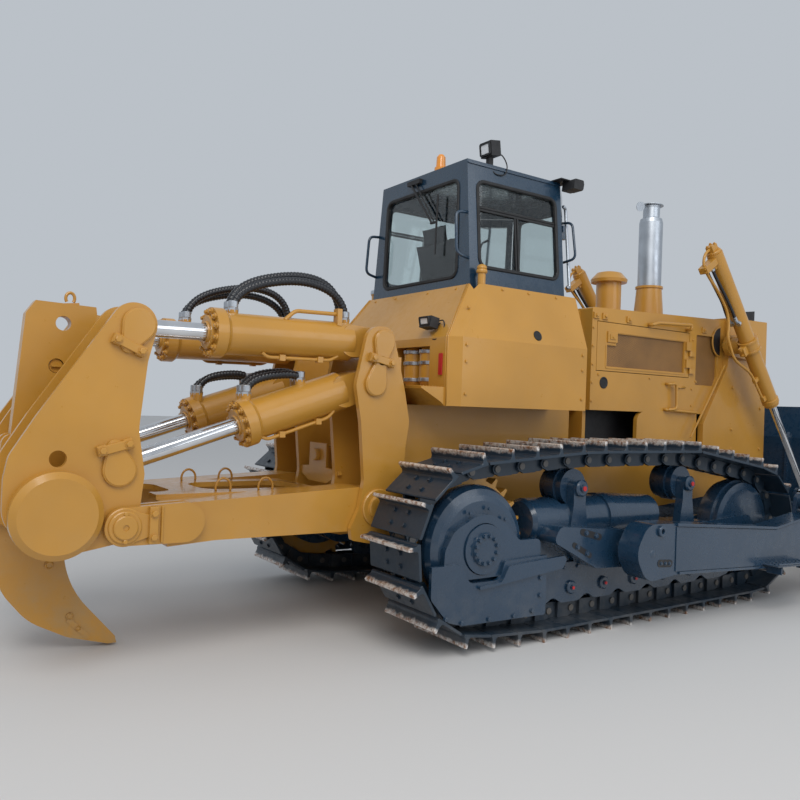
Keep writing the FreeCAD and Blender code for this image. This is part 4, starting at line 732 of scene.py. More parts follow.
def tank_fittings():
    """Post with a ringed dome, filler neck with its cap, and clamps round the accumulators."""
    post = [(0, 0.030), (0.085, 0.030), (0.088, 0.040), (0.100, 0.043), (0.112, 0.040), (0.116, 0.034),
            (0.124, 0.038), (0.136, 0.036), (0.148, 0.026), (0.154, 0.010)]
    neck = [(0, 0.058), (0.05, 0.058), (0.052, 0.064), (0.060, 0.064)]
    cap = [(0.060, 0.058), (0.064, 0.068), (0.090, 0.068), (0.098, 0.060), (0.102, 0.030)]
    band = [(-0.014, 0.080), (-0.012, 0.085), (0.012, 0.085), (0.014, 0.080)]
    up = (0, 0, 1)
    filler = at(395, 700, TANK_TOP)
    piece("tank_post", lathe(post, at(392, -724, TANK_TOP), up, 24), YELLOW, "chassis")
    piece("filler_neck", lathe(neck, filler, up, 28), YELLOW, "chassis")
    piece("filler_cap", lathe(cap, filler, up, 28), SILVER, "chassis")
    clamps = []
    for y in (-300, -500):
        for z in (1800, 1925, 2010):
            clamps += [lathe(band, at(105, y, z), up), block(at(12, y - 12, z - 12), at(28, y + 12, z + 12))]
    piece("tank_clamps", joined(clamps), SILVER, "chassis", bevel=0.001)


def tank_skin():
    """Double seams on the rear corners, a plug in the right slope, bolts, a red reflector and the step's
    tread."""
    seams = []
    for side in (-1, 1):
        corners = placed([(10, side * 835, TANK_FOOT), (10, side * 835, TANK_BREAK), (300, side * 689, 2525)])
        for shift in (0.0, 0.022):
            low, mid, high = corners - (0, side * shift, 0)
            path = np.array([low, (low + mid) / 2, mid, (mid + high) / 2, high])
            seams.append(tube(path + (-0.001, 0, 0.001), 0.004, 6))
    piece("tank_seams", joined(seams), YELLOW, "chassis", smooth=True)
    plug = [(0, 0.040), (0.004, 0.040), (0.006, 0.034), (0.003, 0.028)]
    piece("tank_plug", lathe(plug, at(829, -888, 2168), SLOPE, 24), RUBBER, "chassis")
    heads = [hexes([at(x, -772, 2500) for x in (560, 830, 1130)], SLOPE, 0.010, 0.009),
             hexes([at(283, y, 2496) for y in (-560, -200, 250, 560)], REAR_BEVEL, 0.010, 0.009)]
    for z in (2050, 1930, 1700):
        heads += [hexes([at(x, side * TANK_HALF, z) for x in (120, 1310)], (0, side, 0), 0.011, 0.010)
                  for side in (-1, 1)]
    heads.append(hexes([at(200, -815, 2330)], SLOPE, 0.010, 0.009))
    piece("tank_bolts", joined(heads), YELLOW, "chassis")
    bar = mm([(-22, 0), (-20, 8), (20, 8), (22, 0)])
    reflector = carried([at(6, -763, 1830), at(6, -763, 1985)], (-1, 0, 0), bar, False)
    piece("rear_reflector", reflector, RED, "chassis", bevel=0.001)
    tread = [block(at(x, -810, 1742), at(x + 6, -130, 1748)) for x in range(-204, 4, 26)]
    piece("step_tread", joined(tread), YELLOW, "chassis")


HOOD_HALF, GUARD_HALF = 560, 620            # outer faces of the hood and of the radiator guard's sides
GUARD_BOLT_PLACES = [(3830, 1280), (3830, 1480), (4340, 1280), (4340, 1700), (4340, 2150), (3830, 1900),
                     (3420, 1230)]
HOOD_BARS = [
    # points (x, distance from the side, z), radius and bend
    ([(2560, 0, 2424), (2560, 60, 2424), (2625, 60, 2446), (3128, 60, 2468), (3128, 60, 2426),
      (3128, 0, 2424)], 0.015, 0.03),
    ([(2845, 0, 1892), (2845, 42, 1892), (2950, 42, 1901), (2962, 42, 1661), (2840, 42, 1650)], 0.014, 0.04),
    ([(2830, 0, 1650), (2830, 30, 1650), (3290, 30, 1632), (3290, 0, 1632)], 0.014, 0.02),
    ([(3005, 6, 1867), (3129, 6, 1872)], 0.010, 0.03),
]


def hood_fittings():
    """Grab rails, bolted plates along the upper edge, bolts and plugs on both sides of the hood."""
    plug = [(0, 0.052), (0.004, 0.052), (0.006, 0.044), (0.002, 0.034)]
    rails, heads, plates, plugs = [], [], [], []
    for side in (-1, 1):
        out = (0, side, 0)
        face = side * HOOD_HALF
        rails += [rod([at(x, face + side * y, z) for x, y, z in points], radius, bend)
                  for points, radius, bend in HOOD_BARS]
        for x in (1846, 1960, 2284, 3411):
            plates.append(side_block(side, (x - 34, x + 34), (HOOD_HALF, HOOD_HALF + 14), (2420, 2476)))
            heads.append(hexes([at(x, face + side * 14, 2448)], out, 0.014, 0.012))
        for x in (1820, 3240):
            heads.append(hexes([at(x, face, z) for z in (1700, 1860, 2020, 2180, 2340)], out, 0.010, 0.009))
        heads.append(hexes([at(x, face, 1935) for x in (1900, 2600, 3300)], out, 0.010, 0.009))
        heads.append(hexes([at(x, side * GUARD_HALF, z) for x, z in GUARD_BOLT_PLACES], out, 0.014, 0.012))
        plugs.append(lathe(plug, at(1971, face, 1865), out, 24))
    piece("hood_rails", joined(rails), YELLOW, "chassis", smooth=True)
    piece("hood_plates", joined(plates), YELLOW, "chassis", bevel=0.002)
    piece("hood_bolts", joined(heads), YELLOW, "chassis")
    piece("hood_plugs", joined(plugs), RUBBER, "chassis")


def door_trim():
    """Perforated sheet over the screen of each engine door, with its frame and latch. The sheet's upper rear
    corner is cut out for the latch."""
    x0, x1, z0, z1 = 2002, 3104, 2012, 2308
    cut_x, cut_z = x0 + 120, z1 - 110
    lip = 6
    sheet = [(x0, z0), (x1, z0), (x1, z1), (cut_x, z1), (cut_x, cut_z), (x0, cut_z)]
    edge = [(x0 - lip, z0 - lip), (x1 + lip, z0 - lip), (x1 + lip, z1 + lip), (cut_x - lip, z1 + lip),
            (cut_x - lip, cut_z + lip), (x0 - lip, cut_z + lip)]
    for name, side in SIDES:
        out = (0, side, 0)
        body = "engine_door_body_" + name
        piece("door_sheet_" + name, plate(sheet, side, 544, 546), SCREEN, body)
        rim = rounded(edge, 8, 3)
        path = placed(np.insert(rim, 1, side * HOOD_HALF, axis=1))
        trim = [side_block(side, (2000, 2126), (HOOD_HALF, 572), (2226, 2322)),
                side_block(side, (2026, 2100), (572, 578), (2252, 2296)),
                lathe([(0, 0.012), (0.006, 0.012)], at(2064, side * 578, 2274), out, 12),
                carried(path if side < 0 else path[::-1], out, mm([(0, -4), (0, 4), (14, 4), (14, -4)]))]
        piece("door_trim_" + name, joined(trim), YELLOW, body, bevel=0.001)


tank_fittings()
tank_skin()
hood_fittings()
door_trim()


# Ripper and cylinder details

TILT_PIN, TILT_EYE = (-440, 2035), (-2090, 2010)
RAISE_PIN, RAISE_EYE = (-500, 1740), (-2170, 1178)
ARM_PIN, CARRIER_PIN = (-440, 895), (-2142, 859)
CARRIER_FACE, BRACKET_FACE, ARM_FACE = 640, 692, 690      # outer faces, from the middle
CYLINDER_Y = 470
KEEPERS = [
    # body, pin, bar, run of the bar, face, radius of the cover
    ("ripper_carrier_body", TILT_EYE, (-2144, 1888), (0.915, -0.404), CARRIER_FACE, 97),
    ("ripper_carrier_body", RAISE_EYE, (-2200, 1308), (0.964, 0.267), CARRIER_FACE, 95),
    ("chassis", TILT_PIN, (-462, 1905), (0.979, -0.204), BRACKET_FACE, 84),
]


def drop(centre, tip, r0, r1, count=22):
    """Outline round two circles and their outer tangents."""
    (x0, z0), (x1, z1) = centre, tip
    heading = np.arctan2(z1 - z0, x1 - x0)
    open_half = np.arccos((r0 - r1) / np.hypot(x1 - x0, z1 - z0))
    big = heading + np.linspace(open_half, 2 * pi - open_half, count)
    small = heading + np.linspace(-open_half, open_half, count // 2)
    return np.vstack([np.stack([x0 + r0 * np.cos(big), z0 + r0 * np.sin(big)], axis=1),
                      np.stack([x1 + r1 * np.cos(small), z1 + r1 * np.sin(small)], axis=1)])


def slab(centre, run, half_long, half_wide):
    """Rectangle round its centre whose long side follows run."""
    run = unit(run)
    up = np.array([-run[1], run[0]])
    corners = ((-1, -1), (1, -1), (1, 1), (-1, 1))
    return np.array([centre + run * a * half_long + up * b * half_wide for a, b in corners])


def oblong(centre, run, half, radius, count=9):
    """Outline of a bar with round ends whose middles lie half away from its centre along run."""
    run = unit(run)
    up = np.array([-run[1], run[0]])
    turn = np.radians(np.linspace(-90, 90, count))
    end = half * run + radius * (np.cos(turn)[:, None] * run + np.sin(turn)[:, None] * up)
    return np.array(centre) + np.vstack([end, -end])


def keepers():
    """Stepped teardrop covers over the ends of the pins, each held by a bar with a bolted pad at both ends.
    The cover on the bracket has a second lobe over the raise cylinder's pin."""
    for i, (body, pin, bar, run, face, radius) in enumerate(KEEPERS):
        parts, heads = [], []
        lobes = [(pin, 44)] + ([(RAISE_PIN, 40)] if body == "chassis" else [])
        for side in (-1, 1):
            for lobe, tip in lobes:
                parts.append(plate(drop(lobe, bar, radius, tip), side, face, face + 22))
                parts.append(plate(drop(lobe, bar, radius - 7, tip - 7), side, face, face + 27))
            parts.append(plate(slab(bar, run, 98, 25), side, face, face + 42))
            for end in (-74, 74):
                pad = bar + unit(run) * end
                parts.append(plate(slab(pad, run, 26, 30), side, face, face + 36))
                heads.append(hexes([at(pad[0], side * (face + 42), pad[1])], (0, side, 0), 0.019, 0.018))
        piece("pin_covers_%d" % i, joined(parts), YELLOW, body, bevel=0.003)
        piece("pin_cover_bolts_%d" % i, joined(heads), YELLOW, body)


def arm_covers():
    """Stepped discs over the carrier pins with their tail plates and bars, bracket collars and wire loops."""
    steps = [(0, 0.110), (0.008, 0.110), (0.012, 0.104), (0.012, 0.094), (0.022, 0.092), (0.026, 0.086),
             (0.026, 0.070), (0.036, 0.068), (0.040, 0.062), (0.040, 0.018), (0.032, 0.016)]
    button = [(0, 0.013), (0.010, 0.013), (0.012, 0.010)]
    collar = [(0, 0.128), (0.010, 0.128), (0.016, 0.120), (0.016, 0.088), (0.030, 0.084), (0.034, 0.076),
              (0.034, 0.03)]
    tail = [(-2110, 764), (-1990, 800), (-1990, 922), (-2110, 954)]
    keeper = (-1984, 864)
    bar, key = slab(keeper, (0, 1), 106, 25), slab((-1930, 864), (0, 1), 106, 7)
    parts, rings, heads = [], [], []
    for side in (-1, 1):
        out = (0, side, 0)
        x, z = CARRIER_PIN
        rings.append(lathe(steps, at(x, side * ARM_FACE, z), out, 40))
        rings += [lathe(button, at(x, side * (ARM_FACE + 26), z + rise), out, 12) for rise in (78, -78)]
        rings.append(lathe(collar, at(ARM_PIN[0], side * BRACKET_FACE, ARM_PIN[1]), out, 40))
        for outline, depth in ((tail, 14), (bar, 34), (key, 12)):
            parts.append(plate(outline, side, ARM_FACE, ARM_FACE + depth))
        bolts = [at(keeper[0], side * (ARM_FACE + 34), keeper[1] + rise) for rise in (-68, 68)]
        heads.append(hexes(bolts, out, 0.019, 0.018))
    piece("arm_pin_rings", joined(rings), YELLOW, "ripper_arm_body")
    piece("arm_keepers", joined(parts), YELLOW, "ripper_arm_body", bevel=0.003)
    piece("arm_keeper_bolts", joined(heads), YELLOW, "ripper_arm_body")
    turn = np.linspace(-0.35, pi + 0.35, 24)
    loops = []
    for x, y in ((-1420, -330), (-1130, -355), (-1420, 330), (-1130, 355)):
        loop = np.stack([x + 52 * np.cos(turn), y + 0 * turn, 1022 + 62 * np.sin(turn)], axis=1)
        loops.append(tube(placed(loop), 0.008, 8))
    piece("hose_loops", joined(loops), YELLOW, "ripper_arm_body", smooth=True)


def shank_details():
    """Lifting eye, pins and wear strip of the tip, and the pin in the shank's hole with a bar across."""
    shank_half = 50
    parts = [plate(slab((-2330, 2150), (1, 0.12), 44, 14), 1, -30, 30)]
    turn = np.linspace(-0.75, pi + 0.75, 22)
    eye = np.stack([-2336 + 26 * np.cos(turn), 0 * turn, 2196 + 34 * np.sin(turn)], axis=1)
    parts.append(tube(placed(eye), 0.010, 8))
    for side in (-1, 1):
        for x, z, radius in ((-2409, 549, 0.026), (-2278, 221, 0.022), (-2228, 140, 0.016)):
            dish = [(0, radius), (0.010, radius), (0.013, radius * 0.8), (0.008, radius * 0.6)]
            parts.append(lathe(dish, at(x, side * shank_half, z), (0, side, 0), 20))
        strip = [(-2300, 190), (-2170, 60), (-2150, 84), (-2280, 214)]
        parts.append(plate(strip, side, shank_half, shank_half + 6))
    parts.append(lathe([(0, 0.040), (0.070, 0.040), (0.074, 0.034)], at(-2411, -37, 1769), (0, 1, 0), 24))
    parts.append(block(at(-2440, -56, 1763), at(-2382, -36, 1775)))
    piece("shank_fittings", joined(parts), YELLOW, "ripper_carrier_body")


HOSE_RADIUS, RIB_HEIGHT, RIB_PITCH = 0.0275, 0.0022, 0.024
HOSE_STEP = 0.006                           # between the rings of a hose
HOSE_ROWS = (("outer", 470), ("inner", 400))
ROUTES = {
    "tilt": (((-1455, 2172), (-1455, 2310), (-960, 2440), (-630, 2330), (-630, 2182)),
             ((-1455, 2172), (-1455, 2340), (-930, 2490), (-630, 2380), (-630, 2182))),
    "raise": (((-1346, 1640), (-1346, 1742), (-960, 1800), (-960, 1750)),
              ((-1346, 1640), (-1346, 1758), (-960, 1816), (-960, 1750))),
}


def route_line(corners, y):
    """Line of a hose, read from a NURBS curve of order 3 with the route's points as its control points."""
    curve = bpy.data.curves.new("route", "CURVE")
    curve.dimensions = "3D"
    line = curve.splines.new("NURBS")
    line.points.add(len(corners) - 1)
    for point, (x, z) in zip(line.points, corners):
        point.co = (*at(x, y, z), 1)
    line.order_u = 3
    line.use_endpoint_u = True
    line.resolution_u = 40
    holder = bpy.data.objects.new("route", curve)
    mesh = bpy.data.meshes.new_from_object(holder)
    points = np.array([v.co for v in mesh.vertices])
    bpy.data.objects.remove(holder)
    bpy.data.meshes.remove(mesh)
    bpy.data.curves.remove(curve)
    run = np.concatenate([[0], np.cumsum(np.linalg.norm(np.diff(points, axis=0), axis=1))])
    places = np.linspace(0, run[-1], int(run[-1] / HOSE_STEP))
    return np.stack([np.interp(places, run, points[:, k]) for k in range(3)], axis=1), run[-1]


def hoses():
    """Each hose is a tube whose radius rises and falls as its spiral guard does, with a nut and a sleeve on
    both ends."""
    nut = [(0, 0.036), (0.024, 0.036)]
    sleeve = [(0.024, 0.030), (0.030, 0.033), (0.066, 0.033), (0.070, 0.030)]
    up = (0, 0, 1)
    for word, routes in ROUTES.items():
        for name, side in SIDES:
            body = "%s_barrel_body_%s" % (word, name)
            ends = []
            for (place, y), corners in zip(HOSE_ROWS, routes):
                path, length = route_line(corners, side * y)
                wave = np.arange(len(path)) * HOSE_STEP / RIB_PITCH * 2 * pi
                guard = piece("hose_%s_%s_%s" % (word, place, name),
                              tube(path, HOSE_RADIUS + RIB_HEIGHT * np.sin(wave), 10),
                              HOSE, body, smooth=True)
                if place == "outer":
                    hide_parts("hoses_%s_%s" % (word, name))
                for x, z in (corners[0], corners[-1]):
                    base = at(x, side * y, z - 12)
                    ends += [lathe(nut, base, up, 6), lathe(sleeve, base, up, 18)]
            piece("hose_ends_%s_%s" % (word, name), joined(ends), SILVER, body)


GLAND_BORE, GLAND_RADIUS, BOLT_CIRCLE, BOLTS = 0.057, 0.108, 0.134, 12
PIPE_DROP = 0.152 * 0.92                    # line of the small pipe below the barrel's middle
CYLINDERS = [
    # word, pin, eye, distance of the gland from the pin
    ("tilt", TILT_PIN, TILT_EYE, 1.163),
    ("raise", RAISE_PIN, RAISE_EYE, 0.928),
]


def glands():
    """Gland ring round each rod, a band behind it, bolts and lugs on the collar, and a small pipe along the
    barrel. The tilt cylinders also have the steel pipe that ends in a block beside the hose."""
    a, b = GLAND_BORE, GLAND_RADIUS
    ring = [(0, b), (0.020, b), (0.026, b - 0.006), (0.026, a + 0.012), (0.036, a + 0.008), (0.036, a),
            (0, a)]
    band = [(-0.094, 0.133), (-0.094, 0.140), (-0.072, 0.156), (-0.072, 0.133)]
    lug = [(0, 0.021), (0.010, 0.021), (0.012, 0.019)]
    angles = np.radians(np.arange(BOLTS) * 360 / BOLTS + 15)
    for word, pin, eye, reach in CYLINDERS:
        along = unit([eye[0] - pin[0], 0, eye[1] - pin[1]])
        across = np.array([along[2], 0, -along[0]])
        down = -across if across[2] > 0 else across
        for name, side in SIDES:
            body = "%s_barrel_body_%s" % (word, name)
            foot = np.array(at(pin[0], side * CYLINDER_Y, pin[1]))
            centre = foot + along * reach
            rings = [hoop(ring, centre, along, 40), hoop(band, centre, along, 40)]
            piece("gland_%s_%s" % (word, name), joined(rings), YELLOW, body)
            places = [centre + BOLT_CIRCLE * (cos(t) * across + sin(t) * np.array([0, 1, 0])) for t in angles]
            lugs = [lathe(lug, p, along, 12) for p in places]
            piece("gland_bolts_%s_%s" % (word, name), joined([hexes(places, along, 0.013, 0.026)] + lugs),
                  YELLOW, body)
            low = foot + (0, side * 0.075, 0)
            stations = ((0.84, 0.112), (0.80, PIPE_DROP), (0.34, PIPE_DROP), (0.28, 0.108))
            pipes = [rod([low + along * s + down * d for s, d in stations], 0.012, 0.03, 8)]
            for s in (0.42, 0.70):
                middle = low + along * s + down * PIPE_DROP
                pipes.append(block(middle - 0.020, middle + 0.020))
            if word == "tilt":
                y = CYLINDER_Y + 65
                corners = [at(x, side * y, z) for x, z in ((-1120, 2135), (-1045, 2203), (-722, 2210))]
                pipes.append(rod(corners, 0.014, 0.03, 8))
                pipes.append(side_block(side, (-738, -702), (y - 30, y + 30), (2130, 2246)))
            piece("barrel_pipe_%s_%s" % (word, name), joined(pipes), YELLOW, body, bevel=0.001)


LIFT_PIVOT, LIFT_EYE, LIFT_Y = np.array([3747, 2316.0]), np.array([4900, 800.0]), 835
LIFT_GLAND = 700                            # from the pivot along the barrel
LIFT_PIPE = [(-1082, 20), (-1092, 130), (-1020, 212), (-905, 205), (-700, 150), (-560, 130), (-440, 130),
             (-330, 186), (-250, 262), (-20, 290), (250, 128), (560, 104), (600, 60)]
LIFT_BRICKS = [
    # limits along the barrel, to the rear of its middle, and outward
    ((-1108, -1050), (-34, 52), (-36, 36)), ((-1058, -1030), (-58, -20), (-24, 24)),
    ((-1000, -938), (60, 246), (-44, 44)), ((-955, -900), (60, 100), (-26, 26)),
]
PIVOT_BRICKS = [
    ((-44, 44), (84, 148), (-30, 30)), ((-44, 44), (-148, -84), (-30, 30)),
    ((330, 372), (60, 132), (-18, 18)), ((560, 610), (50, 112), (-20, 20)),
]
LIFT_HOSE = [
    # along the barrel, behind it, and share of the half gap between the two hoses
    (-938, 150, 1), (-860, 148, 1), (-700, 126, 1), (-560, 108, 1), (-440, 106, 1.2), (-360, 108, 1.2),
]


def lift_details():
    """Top fitting, manifold, steel pipe, two hoses, clamp lugs and gland of each lift cylinder, placed along
    the barrel from its pivot, behind it and outward."""
    down = unit(LIFT_EYE - LIFT_PIVOT)
    back = np.array([down[1], -down[0]])
    for name, side in SIDES:
        body = "lift_barrel_body_" + name

        def place(reach, behind, y=0.0):
            """Place at a distance along the barrel, behind it and outward."""
            x, z = LIFT_PIVOT + down * reach + back * behind
            return np.array(at(x, side * (LIFT_Y + y), z))

        def brick(reach, behind, y):
            """Block between three pairs of limits."""
            corners = ((0, 0), (1, 0), (1, 1), (0, 1))
            outline = [LIFT_PIVOT + down * reach[i] + back * behind[k] for i, k in corners]
            return plate(outline, side, LIFT_Y + y[0], LIFT_Y + y[1])

        along, rear = unit(place(1, 0) - place(0, 0)), unit(place(0, 1) - place(0, 0))
        top = [lathe([(-0.028, 0.058), (-0.020, 0.066), (0, 0.066)], place(-1025, 0), along, 24)]
        top += [brick(*limits) for limits in LIFT_BRICKS]
        top.append(rod([place(*p) for p in LIFT_PIPE], 0.014, 0.07, 8))
        strap = [(-0.012, 0.088), (-0.012, 0.097), (0.012, 0.097), (0.012, 0.088)]
        top += [hoop(strap, place(reach, 0), along, 36) for reach in (-50, 50)]
        top += [brick(*limits) for limits in PIVOT_BRICKS]
        for ring in ([(0, 0.072), (0.018, 0.072), (0.024, 0.066), (0.024, 0.038), (0, 0.038)],
                     [(-0.060, 0.073), (-0.056, 0.082), (-0.010, 0.082), (-0.004, 0.073)]):
            top.append(hoop(ring, place(LIFT_GLAND, 0), along))
        piece("lift_fittings_" + name, joined(top), YELLOW, body, bevel=0.002)
        circle = np.radians(np.arange(8) * 45 + 20)
        heads = [hexes([place(-1108, a, b) for a in (-20, 38) for b in (-22, 22)], -along, 0.010, 0.014),
                 hexes([place(a, 246, b) for a in (-985, -953) for b in (-28, 28)], rear, 0.009, 0.010),
                 hexes([place(a, 148) for a in (-26, 26)], rear, 0.013, 0.014),
                 hexes([place(a, -148) for a in (-26, 26)], -rear, 0.013, 0.014),
                 hexes([place(LIFT_GLAND, 60 * cos(t), 60 * sin(t)) for t in circle], along, 0.008, 0.022)]
        piece("lift_bolts_" + name, joined(heads), YELLOW, body)
        lines, ends = [], []
        for y in (-30, 30):
            lines.append(tube(smooth_path([place(a, c, y * k) for a, c, k in LIFT_HOSE], 60), 0.015, 10))
            elbow = [place(a, c, y * 1.2) for a, c in ((-385, 107), (-325, 102), (-293, 62))]
            ends.append(rod(elbow, 0.017, 0.02, 10))
            ends.append(lathe([(0, 0.022), (0.020, 0.022)], place(-938, 150, y), along, 6))
            ends.append(lathe([(0, 0.024), (0.022, 0.024)], place(-293, 72, y * 1.2), rear, 6))
        piece("lift_hoses_" + name, joined(lines), HOSE, body, smooth=True)
        piece("lift_hose_ends_" + name, joined(ends), SILVER, body)


keepers()
arm_covers()
shank_details()
hoses()
glands()
lift_details()


# Push arms with painted shade in their slots, blade, hitch, stack cap, guard openings with painted shade, and
# seat

ARM_SIDE, CASTING_SIDE = 1650, 1390         # outer faces of the push arms and of the trunnion castings
ARM_COVER = [(1548, 458), (2876, 392), (3330, 368), (3330, 742), (2876, 684), (1548, 786)]
ARM_RIMS = ([(1548, 790), (2876, 688), (3330, 746), (3330, 766), (2876, 708), (1548, 812)],
            [(1590, 434), (2876, 370), (3330, 346), (3330, 364), (2876, 388), (1590, 454)])
ARM_SLOT, ARM_SLOT_FALL = (1428, 528), 0.08
STEP, STEP_FALL = (3000, 404), 0.04         # middle of the step's tread
CASTING_SLOTS = [
    # centre, fall ahead, radius, bolts from the centre
    ((930, 728), 0.26, 24, 52),
    ((842, 622), 0.52, 20, 50),
]


def push_arm_details():
    """Side cover, rims, bolted slot, eye and step of each push arm, and two slots of its trunnion casting.
    Each slot is a thin black sheet on the face, as painted shade for its recess.
    """
    eye = [(0, 0.040), (0.018, 0.040), (0.022, 0.034), (0.022, 0.018), (0, 0.018)]
    step_x, step_z = STEP
    parts, slots, heads, well_shades, bolts = [], [], [], [], []
    for side in (-1, 1):
        out = (0, side, 0)
        parts.append(plate(ARM_COVER, side, ARM_SIDE, ARM_SIDE + 8))
        parts += [plate(rim, side, ARM_SIDE - 10, far) for rim, far in zip(ARM_RIMS, (1668, 1664))]
        parts.append(hoop(eye, at(1372, side * ARM_SIDE, 764), out, 24))
        parts.append(plate(oblong(STEP, (1, -STEP_FALL), 300, 7), side, ARM_SIDE, 1790))
        parts.append(plate(oblong((step_x, step_z + 16), (1, -STEP_FALL), 300, 5), side, 1782, 1796))
        parts += [side_block(side, (x, x + 14), (ARM_SIDE, 1780), (340, 396)) for x in (2760, 3220)]
        x0, z0 = ARM_SLOT
        # Painted shade: the slot is a thin black sheet on the arm's face in place of its shaded recess.
        slots.append(plate(oblong(ARM_SLOT, (1, -ARM_SLOT_FALL), 58, 27), side, ARM_SIDE, ARM_SIDE + 3))
        slot_bolts = [at(x0 + d, side * (ARM_SIDE + 2), z0 - d * ARM_SLOT_FALL) for d in (-48, 0, 48)]
        heads.append(hexes(slot_bolts, out, 0.011, 0.012))
        studs = [at(x, side * y, step_z + 8 - (x - step_x) * STEP_FALL)
                 for x in range(2730, 3290, 60) for y in (1685, 1740)]
        heads.append(hexes(studs, (0, 0, 1), 0.008, 0.008))
        places = []
        for (x, z), fall, radius, apart in CASTING_SLOTS:
            outline = oblong((x, z), (1, -fall), 92, radius)
            # Painted shade: each casting slot is a thin black sheet in place of its shaded recess.
            well_shades.append(plate(outline, side, CASTING_SIDE, CASTING_SIDE + 2))
            places += [at(x + d, side * (CASTING_SIDE + 1), z - d * fall) for d in (-apart, apart)]
        bolts.append(hexes(places, out, 0.016, 0.016))
    piece("push_arm_plates", joined(parts), SLATE, "blade_assembly", bevel=0.002)
    piece("push_arm_slot_shades", joined(slots), BLACK_PAINT_AND_SHADE, "blade_assembly")
    piece("push_arm_bolts", joined(heads), SLATE, "blade_assembly")
    piece("casting_slot_shades", joined(well_shades), BLACK_PAINT_AND_SHADE, "chassis")
    piece("casting_bolts", joined(bolts), SLATE, "chassis")


WING_FROM, WING_SWEEP = 1415, 280 / 600     # where the blade's wings start, and how far they sweep ahead a mm
EDGE_FOOT = [(5398, 290), (5458, 20), (5481, 25), (5421, 295)]
EDGE_ENDS = ((-2008, -1712), (-1704, -1419), (-1411, -475), (-467, 467), (475, 1411), (1419, 1704),
             (1712, 2008))


def sweep(y):
    """How far ahead of its middle the blade's foot lies at a distance y to the side."""
    return np.maximum(np.abs(y) - WING_FROM, 0) * WING_SWEEP


def blade_details():
    """Cutting edge in five lengths and two end bits along the foot of the blade, with plough bolts."""
    edges = []
    for low, high in EDGE_ENDS:
        verts, faces = prism(EDGE_FOOT, low, high)
        verts[:, 0] += sweep(verts[:, 1])
        edges.append((placed(verts), faces))
    bolt = [(0, 0.024), (0.006, 0.023), (0.012, 0.014)]
    heads = [lathe(bolt, at(5453 + sweep(y), y, 175), (0.976, 0, 0.218), 14) for y in range(-1920, 1930, 160)]
    piece("cutting_edge", joined(edges), WORN, "blade_assembly", bevel=0.002)
    piece("plough_bolts", joined(heads), WORN, "blade_assembly")


def hull_details():
    """Hitch plate between the ripper brackets, bars and oval rims of the radiator guard, each rim with a thin
    black sheet inside as painted shade for the opening, and the cap of the stack."""
    hitch_rear, hitch_front = -546, -520
    right_half = [(130, 1300), (-130, 1300), (-130, 1122), (-318, 1108), (-330, 1084), (-136, 1006)]
    outline = right_half + [(-y, z) for y, z in right_half[:1:-1]]
    verts, faces = prism(outline[::-1], hitch_rear, hitch_front, axis=0)
    parts = [(placed(verts), faces)]
    parts += [block(at(-522, y - 14, 1060), at(-330, y + 14, 1270)) for y in (-100, 100)]
    parts.append(lathe([(0, 0.045), (0.03, 0.045), (0.036, 0.038)], at(hitch_rear, 0, 1210), (-1, 0, 0), 24))
    turn = np.linspace(-pi / 2, pi / 2, 24)
    oval = np.stack([3684 - 132 * np.cos(turn), 2352 + 146 * np.sin(turn)], axis=1)
    for name, side in SIDES:
        parts.append(plate([(3150, 1396), (3164, 1390), (3684, 2114), (3670, 2122)], side, 618, 634))
        parts.append(tube([at(x, side * (HOOD_HALF + 4), z) for x, z in oval], 0.009, 8))
        # Painted shade: a thin black sheet on the hood face stands in for the dark inside of the oval
        # opening.
        opening_shade = plate(oval, side, HOOD_HALF, HOOD_HALF + 2)
        piece("guard_opening_shade_" + name, opening_shade, BLACK_PAINT_AND_SHADE, "chassis")
    piece("hull_plates", joined(parts), YELLOW, "chassis", bevel=0.002)
    lid = [(0, 0.118), (0.006, 0.118), (0.012, 0.100), (0.014, 0.030)]
    cap = [lathe(lid, at(3269, 0, 3754), (0.03, 0, 1)),
           rod([at(3200, 0, 3760), at(3150, 0, 3752), at(3110, 0, 3738)], 0.009, 0.02, 8),
           lathe([(-0.004, 0.048), (0.004, 0.048)], at(3092, 0, 3722), (0.25, 0.85, 0.2), 20)]
    piece("stack_cap", joined(cap), SILVER, "chassis")


